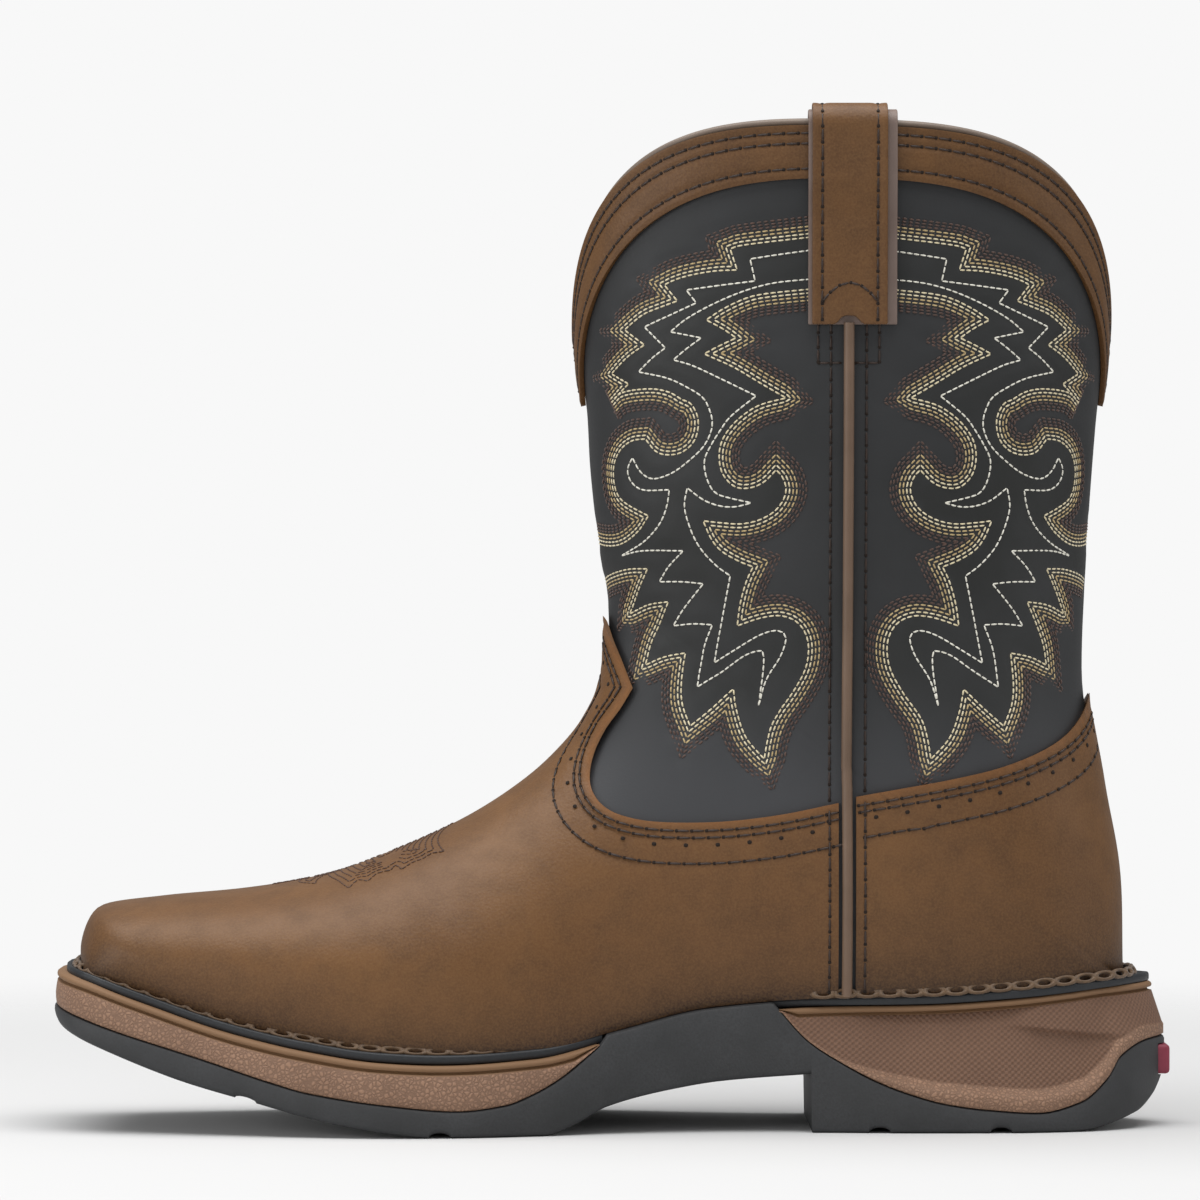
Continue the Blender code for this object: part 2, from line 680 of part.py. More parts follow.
def make_outsole(parts, cutters):
    def top(x):
        return min(outsole_rise_z(x), feather_z(x) - 2 * GAP)

    def bottom(x):
        base = tread_z(x) if x < BREAST_X else heel_tread_z(x)
        return min(base + groove_z(x), top(x) - 1.0)

    def chamfer_top(x):
        return min(bottom(x) + TREAD_CHAMFER, top(x) - 0.5)

    edges = [m + d for m in TREAD_GROOVES_X for d in (-GROOVE_MOUTH, -GROOVE_BED, GROOVE_BED, GROOVE_MOUTH)]
    turns_x = [row.x for row in OUTSOLE_RISE if -30 < row.x < 10 or row.x > 40]
    flats = [-50.0, -18.0, -10.5, -1.0, 0.8, BREAST_X - 0.4, BREAST_X + 0.4, 128.0]
    ends = (SOLE_PLAN[0].x, SOLE_PLAN[-1].x)
    xs = stations(*ends, [*edges, *turns_x, *flats])
    levels = [
        (always(TREAD_CHAMFER), bottom),
        (always(0.0), chamfer_top),
        (always(0.2), top),
    ]
    sole = loft("outsole", layer_loops(xs, levels), "dark_rubber", parts)
    recess = [size + 2 * GAP for size in TAB_SIZE]
    cut(sole, box("heel_tab_recess", recess, TAB_CENTRE, None, cutters), "DIFFERENCE")


def box(name, size, centre, finish, collection):
    bm = bmesh.new()
    bmesh.ops.create_cube(bm, size=1.0)
    for vertex in bm.verts:
        place = [centre[k] + vertex.co[k] * size[k] for k in range(3)]
        vertex.co = Vector(place) * MM
    mesh = bpy.data.meshes.new(name)
    bm.to_mesh(mesh)
    bm.free()
    obj = add_object(name, mesh, finish, collection)
    if finish is None:
        obj.hide_render = True
        obj.display_type = "WIRE"
    return obj


def make_heel_tab(parts):
    tab = box("heel_tab", TAB_SIZE, TAB_CENTRE, "red_rubber", parts)
    rounding = tab.modifiers.new("rounding", "BEVEL")
    rounding.width = 0.9 * MM
    rounding.segments = 2


def welt_seat_z(x):
    """Top of the ledge that the welt lies on."""
    return feather_z(x) - GAP - WELT_THICK - GAP


def platform_z(x):
    """Top of the midsole and heel stack inside the welt, where the insole lies."""
    return feather_z(x) - GAP


def make_midsole(parts):
    def bottom(x):
        return outsole_rise_z(x) + GAP

    def above_bottom(share):
        return lambda x: bottom(x) + (welt_seat_z(x) - bottom(x)) * share

    def under_top(drop):
        return lambda x: max(welt_seat_z(x) - drop, above_bottom(0.4)(x))

    ledge = WELT_INSET + WELT_WIDTH + REBATE_PLAY
    levels = [
        (always(0.5), bottom),
        (always(0.3), above_bottom(0.3)),
        (always(1.2), under_top(LIP_HEIGHT + LIP_GROOVE)),
        (always(2.4), under_top(LIP_HEIGHT + LIP_GROOVE / 2)),
        (always(1.5), under_top(LIP_HEIGHT)),
        (always(1.9), welt_seat_z),
        (always(ledge), welt_seat_z),
        (always(ledge), platform_z),
    ]
    xs = stations(SOLE_PLAN[0].x, MIDSOLE_END_X, [-21.5, -14.0])
    loft("midsole", layer_loops(xs, levels), "brown_midsole", parts)


def make_heel_stack(parts):
    def bottom(x):
        return outsole_rise_z(x) + GAP

    def height(x):
        return welt_seat_z(x) - bottom(x)

    def rise(size):
        return lambda x: bottom(x) + min(size, 0.3 * height(x))

    def drop(size):
        return lambda x: welt_seat_z(x) - min(size, 0.35 * height(x))

    def narrowing(share, extra=0.0):
        return lambda x: 0.4 + HEEL_TOP_INSET * share * min(1.0, height(x) / 20) + extra

    ledge = HEEL_RAND_INSET + WELT_WIDTH + REBATE_PLAY
    levels = [
        (narrowing(0.0), bottom),
        (narrowing(0.08), rise(HEEL_RIM)),
        (narrowing(0.1, HEEL_PANEL_DEPTH), rise(HEEL_RIM + 0.8)),
        (narrowing(0.7, HEEL_PANEL_DEPTH), drop(LIP_HEIGHT + LIP_GROOVE)),
        (narrowing(0.8), drop(LIP_HEIGHT)),
        (narrowing(0.85), welt_seat_z),
        (always(ledge), welt_seat_z),
        (always(ledge), platform_z),
    ]
    xs = stations(HEEL_STACK_START_X, SOLE_PLAN[-1].x, [row.x for row in OUTSOLE_RISE])
    loft("heel_stack", layer_loops(xs, levels), "brown_midsole", parts)


def strip_loops(path_xs, inset, open_end_first):
    """Cross-section loops of a welt strip that follows the sole's edge round one end of it."""
    medial = outline(path_xs, inset)
    inner_edge = outline(path_xs, inset + WELT_WIDTH)
    walk = [(m[0], i[0]) for m, i in zip(medial, inner_edge)]
    back = [(m[1], i[1]) for m, i in zip(medial, inner_edge)]
    pairs = [*reversed(walk), *back] if open_end_first else [*walk, *reversed(back)]
    loops = []
    for (out_x, out_y), (in_x, in_y) in pairs:
        loop = []
        for x, y, up in ((out_x, out_y, 0), (in_x, in_y, 0), (in_x, in_y, 1), (out_x, out_y, 1)):
            z = feather_z(x) - GAP - WELT_THICK * (1 - up)
            loop.append((x, y, z))
        loops.append(loop)
    return loops


def make_welts(parts):
    front = stations(SOLE_PLAN[0].x, WELT_END_X)
    loft("welt", strip_loops(front, WELT_INSET, True), "black_welt", parts)
    heel = stations(HEEL_RAND_START_X, SOLE_PLAN[-1].x)
    loft("heel_rand", strip_loops(heel, HEEL_RAND_INSET, False), "black_welt", parts)


def make_insole(parts):
    edge_gap = WALL + 1.8
    toe = [a for a in turns() if 0.05 < a < 1]
    ends = [(upper_point(-a, 0), upper_point(a, 0)) for a in toe]
    rows = np.arange(0.5, ROW["heel_back"] - 0.2, 0.5)
    pairs = ends + [(upper_point(-1, row), upper_point(1, row)) for row in rows]
    inner = move_in([p[0] for p in pairs], edge_gap, -1)
    outer = move_in([p[1] for p in pairs], edge_gap, 1)
    loops = []
    for (ix, iy), (ox, oy) in zip(inner, outer):
        loop = [(ix, iy, feather_z(ix)), (ix, iy, feather_z(ix) + INSOLE_THICK)]
        loop += [(ox, oy, feather_z(ox) + INSOLE_THICK), (ox, oy, feather_z(ox))]
        loops.append(loop)
    loft("insole", loops, "tan_insole", parts)


def move_in(points, distance, side):
    """Plan points moved inwards from a line that runs from toe to heel on one side of the foot."""
    moved = []
    for i, point in enumerate(points):
        before, after = points[max(i - 1, 0)], points[min(i + 1, len(points) - 1)]
        along = (after.xy - before.xy).normalized()
        moved.append((point.x + side * along.y * distance, point.y - side * along.x * distance))
    return moved


def main():
    clear_scene()
    parts = bpy.data.collections.new("western_boot")
    cutters = bpy.data.collections.new("western_boot_cutters")
    for collection in (parts, cutters):
        bpy.context.scene.collection.children.link(collection)
    make_outsole(parts, cutters)
    make_heel_tab(parts)
    make_midsole(parts)
    make_heel_stack(parts)
    make_welts(parts)
    make_insole(parts)
    make_upper(parts)
    make_foot_overlay("vamp", vamp_outline(), parts, cutters)
    make_foot_overlay("counter", counter_outline(), parts, cutters)
    make_collar(parts)
    make_topline_bead(parts)
    for label, side in (("inner", -1), ("outer", 1)):
        make_piping(f"side_piping_{label}", side, parts)
        make_strap(label, side, parts)


main()
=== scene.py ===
"""Looks of the western boot: a right boot that stands empty on a pale floor, seen from its inner side.

Sizes are millimetres, turned into metres where a mesh is made. The toe points along -X, the inner side of the
foot is -Y and the floor is Z = 0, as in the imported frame.
"""

import math

import bpy
import numpy as np
from mathutils.kdtree import KDTree
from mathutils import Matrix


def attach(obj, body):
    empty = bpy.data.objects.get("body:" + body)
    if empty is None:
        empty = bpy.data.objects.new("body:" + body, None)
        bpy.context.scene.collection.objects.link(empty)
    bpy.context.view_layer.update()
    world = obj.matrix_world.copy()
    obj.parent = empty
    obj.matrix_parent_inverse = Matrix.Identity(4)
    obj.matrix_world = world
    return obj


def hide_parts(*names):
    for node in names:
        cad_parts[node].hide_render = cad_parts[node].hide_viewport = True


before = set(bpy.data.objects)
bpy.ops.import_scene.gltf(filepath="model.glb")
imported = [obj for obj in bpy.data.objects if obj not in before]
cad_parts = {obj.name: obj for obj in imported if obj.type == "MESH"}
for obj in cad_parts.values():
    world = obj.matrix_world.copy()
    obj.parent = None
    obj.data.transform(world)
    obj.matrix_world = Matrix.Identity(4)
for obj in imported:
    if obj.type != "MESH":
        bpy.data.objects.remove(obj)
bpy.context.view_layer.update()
MM = 0.001


# Studio
# A pale paper floor that fades into a white room, one large soft lamp overhead, and smaller ones at the
# toe, the heel and the camera. The level camera is placed in the boot's own sizes, so a pixel has a size.

PICTURE = 1200  # pixels along each side of the picture
PIXEL = 0.281  # one pixel at the boot's middle plane
CAMERA_X, CAMERA_AWAY, CAMERA_Z = -3.4, 1800.0, 147.0
SENSOR = 36.0
ROOM_WHITE = "#f8f8f8"
FLOOR_RADIUS = 1200.0
FLOOR_FADE = (240.0, 760.0)  # the paper is whole inside the first radius and gone beyond the second


def linear(hex_colour):
    """An sRGB hex colour as the linear RGBA that a socket holds."""
    shares = [int(hex_colour[i : i + 2], 16) / 255 for i in (1, 3, 5)]
    return (*[s / 12.92 if s <= 0.04045 else ((s + 0.055) / 1.055) ** 2.4 for s in shares], 1.0)


def add_node(tree, kind, settings=None, sockets=None):
    """Adds a shader node with its settings, and fills its sockets with values or other nodes' outputs."""
    node = tree.nodes.new("ShaderNode" + kind)
    for name, value in (settings or {}).items():
        setattr(node, name, value)
    for name, value in (sockets or {}).items():
        if isinstance(value, bpy.types.NodeSocket):
            tree.links.new(value, node.inputs[name])
        else:
            node.inputs[name].default_value = value
    return node


def new_material(name):
    """A material with an empty node tree."""
    material = bpy.data.materials.new(name)
    material.use_nodes = True
    material.node_tree.nodes.clear()
    return material, material.node_tree


def only(piece):
    """Selects one piece alone."""
    bpy.ops.object.select_all(action="DESELECT")
    piece.select_set(True)
    bpy.context.view_layer.objects.active = piece


bpy.ops.object.select_all(action="DESELECT")
bpy.ops.object.camera_add(
    location=(CAMERA_X * MM, -CAMERA_AWAY * MM, CAMERA_Z * MM), rotation=(math.pi / 2, 0, 0)
)
camera = bpy.context.object
camera.data.sensor_width = SENSOR
camera.data.lens = SENSOR * CAMERA_AWAY / (PICTURE * PIXEL)
bpy.context.scene.camera = camera
bpy.context.scene.view_settings.view_transform = "Standard"

# Matt paper: no gloss, and clear towards its rim, so that the room's white takes over with no horizon.
paper, tree = new_material("matt_paper")
place = add_node(tree, "TexCoord").outputs["Object"]
away = add_node(tree, "VectorMath", {"operation": "LENGTH"}, {0: place}).outputs["Value"]
fade = add_node(
    tree,
    "MapRange",
    {"interpolation_type": "SMOOTHSTEP"},
    {"Value": away, "From Min": FLOOR_FADE[0] * MM, "From Max": FLOOR_FADE[1] * MM},
).outputs["Result"]
sheet = add_node(tree, "BsdfDiffuse", None, {"Color": linear("#d3d3d3")}).outputs["BSDF"]
clear = add_node(tree, "BsdfTransparent").outputs["BSDF"]
blended = add_node(tree, "MixShader", None, {0: fade, 1: sheet, 2: clear}).outputs["Shader"]
add_node(tree, "OutputMaterial", None, {"Surface": blended})

bpy.ops.mesh.primitive_circle_add(vertices=64, radius=FLOOR_RADIUS * MM, fill_type="NGON")
floor = bpy.context.object
floor.name = floor.data.name = "paper_floor"
bpy.ops.object.mode_set(mode="EDIT")
bpy.ops.mesh.inset(thickness=(FLOOR_RADIUS - FLOOR_FADE[0]) * MM)
bpy.ops.object.mode_set(mode="OBJECT")
floor.data.materials.append(paper)

# The lamps: (name, place in mm, where it points in mm, side lengths in mm, watts)
LAMPS = [
    ("overhead", (-60, -180, 1300), (-10, 0, 100), (1800, 1200), 24.5),
    ("toe_side", (-1250, -700, 330), (-60, 0, 90), (900, 600), 6.0),
    ("camera_side", (-200, -1500, 300), (-20, 0, 90), (1500, 460), 1.9),
    ("heel_side", (1200, -400, 360), (60, 0, 60), (900, 600), 1.8),
]
for name, spot, target, sides, watts in LAMPS:
    bpy.ops.object.light_add(type="AREA", location=[value * MM for value in spot])
    lamp = bpy.context.object
    lamp.name = name + "_lamp"
    aim = np.subtract(target, spot)
    lamp.rotation_euler = (math.atan2(math.hypot(aim[0], aim[1]), -aim[2]), 0, math.atan2(-aim[0], aim[1]))
    lamp.data.shape = "RECTANGLE"
    lamp.data.size, lamp.data.size_y = sides[0] * MM, sides[1] * MM
    lamp.data.energy = watts

room = bpy.data.worlds.new("white_room")
room.use_nodes = True
bpy.context.scene.world = room
tree = room.node_tree
tree.nodes.clear()
seen = add_node(tree, "LightPath").outputs["Is Camera Ray"]
backdrop = add_node(tree, "Background", None, {"Color": linear(ROOM_WHITE), "Strength": 1.0}).outputs[0]
ambient = add_node(tree, "Background", None, {"Color": linear("#ffffff"), "Strength": 0.34}).outputs[0]
both = add_node(tree, "MixShader", None, {0: seen, 1: ambient, 2: backdrop}).outputs["Shader"]
add_node(tree, "OutputWorld", None, {"Surface": both})


# Shaft pattern
# The shaft's leather is stitched flat with a flame pattern of seven rows, light inside and dark outside,
# and one white line along the middle. It is charted here on the front half of the inner side, and
# the other three panels are its mirror images.

SIDE_SEAM_X = 64.8
# Sections of the upper from the toe edge over the instep and round the heel up to the collar, each a plane
# through a low point (feather edge, then back seam) and a top point (ridge of the vamp, then front of the
# shaft). base and belly are half widths, belly_at is how far up the widest place lies, crown and seat say
# how square the curve is above and below it, sway moves the section sideways and lean moves its top.
SECTION_COLUMNS = "low_x low_z top_x top_z base belly belly_at crown seat sway lean".split()
SECTIONS = {
    "toe_edge": (-141.0, 42.6, -146.2, 43.9, 27.5, 27.5, 0.30, 2.6, 2.0, 0.0, 0.0),
    "toe_wall": (-133.0, 39.4, -146.8, 50.0, 30.0, 30.6, 0.30, 2.6, 2.0, 0.0, 0.0),
    "toe_brow": (-121.0, 35.0, -143.2, 59.2, 33.2, 34.2, 0.30, 2.6, 2.0, 0.0, 0.0),
    "toe_top": (-105.0, 30.3, -126.0, 62.0, 37.2, 38.6, 0.30, 2.5, 2.0, 0.0, 0.0),
    "toe_cap": (-85.0, 25.9, -104.0, 64.1, 41.6, 43.2, 0.30, 2.4, 2.0, -0.3, -0.5),
    "tread": (-64.0, 22.9, -81.0, 68.0, 44.8, 46.6, 0.30, 2.3, 2.0, -0.4, -1.0),
    "ball": (-42.0, 22.2, -59.0, 75.8, 45.2, 47.0, 0.30, 2.15, 2.0, 0.8, -1.8),
    "waist": (-20.0, 23.4, -37.0, 86.3, 42.4, 44.4, 0.30, 2.0, 2.0, 3.0, -2.8),
    "instep": (2.0, 28.6, -18.2, 99.8, 37.4, 40.0, 0.30, 1.95, 2.0, 4.4, -3.6),
    "arch": (26.0, 34.4, -7.0, 112.6, 33.0, 37.0, 0.33, 1.9, 2.0, 3.8, -3.2),
    "shank": (55.0, 36.8, -2.6, 121.8, 30.6, 35.0, 0.36, 1.9, 2.0, 1.8, -1.8),
    "throat": (88.0, 37.5, -1.0, 130.5, 29.2, 33.6, 0.40, 1.9, 2.1, 0.4, -0.4),
    "heel_mid": (115.0, 39.3, -0.9, 139.2, 26.6, 33.0, 0.42, 1.9, 2.2, 0.0, 0.0),
    "heel_turn": (132.0, 40.7, -1.2, 147.0, 19.5, 33.0, 0.44, 1.95, 2.3, 0.0, 0.0),
    "heel_curve": (138.6, 41.4, -1.6, 150.0, 12.6, 33.2, 0.445, 1.95, 2.3, 0.0, 0.0),
    "heel_back": (141.6, 41.8, -2.2, 153.0, 0.0, 33.4, 0.45, 1.95, 2.3, 0.0, 0.0),
    "counter": (141.6, 64.0, -3.4, 160.0, 0.0, 34.6, 0.46, 2.0, 2.2, 0.0, 0.0),
    "ankle_low": (136.5, 96.0, -4.4, 167.5, 0.0, 36.2, 0.48, 2.0, 2.1, 0.0, 0.0),
    "ankle": (131.9, 128.0, -5.4, 176.0, 0.0, 38.0, 0.50, 2.0, 2.0, 0.0, 0.0),
    "calf_low": (133.2, 160.0, -6.3, 186.0, 0.0, 40.6, 0.50, 2.0, 2.0, 0.0, 0.0),
    "calf": (135.6, 194.0, -6.9, 198.0, 0.0, 43.0, 0.50, 2.0, 2.0, 0.0, 0.0),
    "dip": (138.2, 221.0, -9.4, 220.0, 0.0, 44.6, 0.50, 2.0, 2.0, 0.0, 0.0),
    "collar": (140.6, 282.0, -12.4, 282.0, 0.0, 46.5, 0.50, 2.0, 2.0, 0.0, 0.0),
}
ROW = {name: index for index, name in enumerate(SECTIONS)}


def curve_through(xs, ys):
    """A smooth curve through points, level at each peak and dip."""
    xs, ys = np.asarray(xs, float), np.asarray(ys, float)
    steps = np.diff(xs)
    rises = np.diff(ys) / steps
    before, after = rises[:-1], rises[1:]
    total = np.where(before + after == 0, 1.0, before + after)
    inner = np.where(before * after > 0, 2 * before * after / total, 0)
    slopes = np.concatenate([rises[:1], inner, rises[-1:]])

    def value(x):
        x = np.clip(x, xs[0], xs[-1])
        i = np.clip(np.searchsorted(xs, x, side="right") - 1, 0, len(xs) - 2)
        t = (x - xs[i]) / steps[i]
        start = (1 + 2 * t) * (1 - t) ** 2 * ys[i] + t * (1 - t) ** 2 * slopes[i] * steps[i]
        return start + t * t * (3 - 2 * t) * ys[i + 1] + t * t * (t - 1) * slopes[i + 1] * steps[i]

    return value


section_table = np.array(list(SECTIONS.values())).T
SECTION_CURVES = {
    column: curve_through(np.arange(len(SECTIONS)), values)
    for column, values in zip(SECTION_COLUMNS, section_table)
}


def upper_point(around, row):
    """Points of the upper's surface in mm. around is 0 on the ridge and the shaft's front, -1 and +1 on the
    inner and outer feather edge or on the back seam, and row counts along SECTIONS."""
    around, row = np.broadcast_arrays(np.asarray(around, float), np.asarray(row, float))
    s = {column: curve(row) for column, curve in SECTION_CURVES.items()}
    around = np.where(np.abs(around) > 1, around - np.sign(around) * 2, around)
    turn = np.abs(around)
    cosine, sine = np.abs(np.cos(turn * np.pi)), np.abs(np.sin(turn * np.pi))
    openness, drop = s["base"] / s["belly"], 2 * turn - 1
    high_along = s["belly_at"] + (1 - s["belly_at"]) * cosine ** (2 / s["crown"])
    high_half = s["belly"] * sine ** (2 / s["crown"])
    bend_along, bend_half = 1 - cosine ** (2 / s["seat"]), sine ** (2 / s["seat"])
    low_along = s["belly_at"] * ((1 - openness) * bend_along + openness * (1 - drop))
    share = (1 - openness) * bend_half + openness * (1 - drop * drop)
    low_half = s["base"] + (s["belly"] - s["base"]) * share
    along = np.where(turn <= 0.5, high_along, low_along)
    half = np.where(turn <= 0.5, high_half, low_half)
    x = s["low_x"] + (s["top_x"] - s["low_x"]) * along
    z = s["low_z"] + (s["top_z"] - s["low_z"]) * along
    y = s["sway"] + np.where(around < 0, -half, half) + s["lean"] * along * along
    return np.stack([x, y, z], axis=-1)


HEEL_SEAT = (100.0, 41.6, 28.0)  # x of its middle, half its length and half its width
SEAT_AROUND, SEAT_ROWS = (0.62, 0.94), (11.0, 13.8, 15.1, 16.0)  # where it begins, and ends again


def soft_step(value, start, end):
    """Rises smoothly from 0 at start to 1 at end."""
    t = np.clip((np.asarray(value, float) - start) / (end - start), 0, 1)
    return t * t * (3 - 2 * t)


def upper_normal(around, row):
    """Unit vectors out of the leather."""
    step = 0.004
    low, high = np.maximum(row - step, 0), np.minimum(row + step, len(SECTIONS) - 1)
    along = upper_point(around, high) - upper_point(around, low)
    end = np.where(np.asarray(row) < ROW["heel_back"], 1.0, 2.0)  # under the foot the sections are open
    across = upper_point(np.minimum(around + step, end), row)
    across = across - upper_point(np.maximum(around - step, -end), row)
    normal = np.cross(along, across)
    normal /= np.maximum(np.linalg.norm(normal, axis=-1, keepdims=True), 1e-9)
    # Round the heel seat both directions run along the edge, so the leather simply faces out of the curve
    point = upper_point(around, row)
    centre_x, half_length, half_width = HEEL_SEAT
    back, out = (point[..., 0] - centre_x) / half_length**2, point[..., 1] / half_width**2
    seat = np.stack([back, out, 0 * out], axis=-1)
    seat /= np.maximum(np.linalg.norm(seat, axis=-1, keepdims=True), 1e-9)
    share = soft_step(np.abs(around), *SEAT_AROUND)
    share = share * soft_step(row, *SEAT_ROWS[:2]) * (1 - soft_step(row, *SEAT_ROWS[2:]))
    normal += (seat - normal) * share[..., None]
    return normal / np.linalg.norm(normal, axis=-1, keepdims=True)


def row_at_height(turn, z, lowest="toe_brow"):
    """The row at which the surface reaches a height."""
    turn, z = np.broadcast_arrays(np.asarray(turn, float), np.asarray(z, float))
    low, high = np.full(turn.shape, float(ROW[lowest])), np.full(turn.shape, float(ROW["collar"]))
    for _ in range(30):
        middle = (low + high) / 2
        below = upper_point(turn, middle)[..., 2] < z
        low, high = np.where(below, middle, low), np.where(below, high, middle)
    return (low + high) / 2


# The upper unrolled: at each height, the distance along the leather forward of the side seam
RING_STEP = 2.0
RING_Z = np.arange(60.0, 285.0, RING_STEP)
RING_TURN = np.linspace(0, 1, 181)
UNROLLED = np.arange(-190.0, 190.5, 1.0)
ring_row = row_at_height(RING_TURN[None, :], RING_Z[:, None])
ring_points = upper_point(RING_TURN[None, :], ring_row)
ring_steps = np.linalg.norm(np.diff(ring_points[..., :2], axis=1), axis=-1)
ring_length = np.concatenate([np.zeros((len(RING_Z), 1)), np.cumsum(ring_steps, axis=1)], axis=1)
ring_forward = np.array(
    [
        np.interp(SIDE_SEAM_X, ring_points[i, :, 0], ring_length[i]) - ring_length[i]
        for i in range(len(RING_Z))
    ]
)
TURN_AT = np.array([np.interp(UNROLLED, forward[::-1], RING_TURN[::-1]) for forward in ring_forward])


def forward_of_seam(x, z):
    """Distance along the leather forward of the side seam of points seen from the side at x and z."""
    level = np.clip((np.asarray(z, float) - RING_Z[0]) / RING_STEP, 0, len(RING_Z) - 1.001)
    found = []
    for at, side_x in zip(level, np.asarray(x, float)):
        i = int(at)
        ends = [np.interp(side_x, ring_points[k, :, 0], ring_forward[k]) for k in (i, i + 1)]
        found.append(ends[0] + (ends[1] - ends[0]) * (at - i))
    return np.array(found)


def spot_on_upper(forward, z):
    """(turn, row) on the upper at a distance forward of the side seam and a height."""
    level = np.clip((np.asarray(z, float) - RING_Z[0]) / RING_STEP, 0, len(RING_Z) - 1.001)
    place = np.clip(np.asarray(forward, float) - UNROLLED[0], 0, len(UNROLLED) - 1.001)
    i, j = level.astype(int), place.astype(int)
    a, b = level - i, place - j
    turn = (1 - a) * ((1 - b) * TURN_AT[i, j] + b * TURN_AT[i, j + 1])
    turn += a * ((1 - b) * TURN_AT[i + 1, j] + b * TURN_AT[i + 1, j + 1])
    return turn, row_at_height(turn, z)


def pixel_on_upper(pixels):
    """(forward, z) of pixels of the picture that lie on the inner side of the boot."""
    pixels = np.array(pixels, float)
    depth = np.full(len(pixels), -40.0)  # a first guess, put right by each round
    for _ in range(4):
        scale = PIXEL * (CAMERA_AWAY + depth) / CAMERA_AWAY
        x = CAMERA_X + (pixels[:, 0] - PICTURE / 2) * scale
        z = CAMERA_Z - (pixels[:, 1] - PICTURE / 2) * scale
        forward = forward_of_seam(x, z)
        turn, row = spot_on_upper(forward, z)
        depth = upper_point(-turn, row)[:, 1]
    return np.stack([forward, z], axis=-1)


def flowing(points, step=0.5):
    """Points a step apart on a smooth curve through the given ones."""
    points = np.asarray(points, float)
    if len(points) == 2:
        count = max(int(np.linalg.norm(points[1] - points[0]) / step), 2)
        return points[0] + (points[1] - points[0]) * np.linspace(0, 1, count + 1)[:, None]
    pull = np.gradient(points, axis=0)
    made = []
    for i in range(len(points) - 1):
        count = max(int(np.linalg.norm(points[i + 1] - points[i]) / step), 2)
        t = np.linspace(0, 1, count, endpoint=False)[:, None]
        start = (1 + 2 * t) * (1 - t) ** 2 * points[i] + t * (1 - t) ** 2 * pull[i]
        made.append(start + t * t * (3 - 2 * t) * points[i + 1] + t * t * (t - 1) * pull[i + 1])
    return np.concatenate([*made, points[-1:]])


def parallel_row(line, gap, bluntness=0.3):
    """A line moved to its left by gap, or to its right if that is negative, mitred at corners that are not
    too sharp, without the loops that this makes in tight bends."""
    ahead = np.diff(line, axis=0)
    ahead /= np.maximum(np.linalg.norm(ahead, axis=1, keepdims=True), 1e-9)
    left = np.stack([-ahead[:, 1], ahead[:, 0]], axis=-1)
    before, after = np.concatenate([left[:1], left]), np.concatenate([left, left[-1:]])
    spread = np.maximum(1 + np.sum(before * after, axis=1, keepdims=True), bluntness)
    moved = line + gap * (before + after) / spread
    away = np.sqrt(((moved[:, None, :] - line[None, :, :]) ** 2).sum(-1)).min(axis=1)
    return moved[away > 0.95 * abs(gap)]


def short_of_middle(line):
    """The part of an unrolled line that does not run past the middle of the front or of the back."""
    turn, _ = spot_on_upper(line[:, 0], line[:, 1])
    return line[np.minimum(turn, 1 - turn) > MIDDLE_CLEAR]


# The chart, in pixels of the picture: each row is a smooth stretch that starts where the last one ended
FLAME_TOP = [
    [(812, 237), (744, 245), (730, 249)],
    [(737, 270)],
    [(715, 271), (691, 275), (674, 280), (664, 285)],
    [(677, 301)],
    [(658, 308), (642, 315), (624, 330)],
    [(644, 345)],
    [(627, 357), (611, 374)],
    [(628, 384)],
    [(610, 404)],
    [(621, 393), (648, 389), (668, 392), (682, 400), (691, 404), (698, 420), (695, 439), (684, 451)]
    + [(670, 455), (656, 452), (645, 439)],
    [(631, 441), (619, 451), (613, 467), (614, 486), (619, 498), (629, 506), (648, 516)],
    [(638, 531), (623, 543), (609, 546), (598, 543), (591, 543)],
]
FLAME_FOOT = [
    [(592, 583), (604, 580), (625, 570), (647, 569)],
    [(638, 590), (629, 614)],
    [(648, 605), (668, 602)],
    [(660, 622), (650, 645), (645, 665)],
    [(664, 657), (685, 653)],
    [(681, 683), (682, 704), (690, 726)],
    [(711, 709), (733, 689)],
    [(737, 713), (746, 738), (764, 759)],
    [(768, 738), (775, 718), (793, 692), (806, 667), (808, 642), (799, 624), (782, 616), (761, 618)]
    + [(737, 626)],
    [(740, 604), (746, 582), (753, 567)],
    [(738, 561), (721, 551), (711, 539), (703, 521)],
    [(721, 523), (742, 524), (762, 519), (778, 508), (786, 492), (783, 478), (776, 470)],
    [(764, 482), (750, 488), (735, 487), (723, 475), (719, 459), (721, 443), (729, 429), (742, 416)]
    + [(760, 405), (786, 398)],
    [(760, 383), (733, 367), (704, 354)],
    [(719, 346), (736, 338)],
    [(723, 329), (706, 320)],
    [(723, 309), (744, 299), (764, 294), (812, 289)],
]
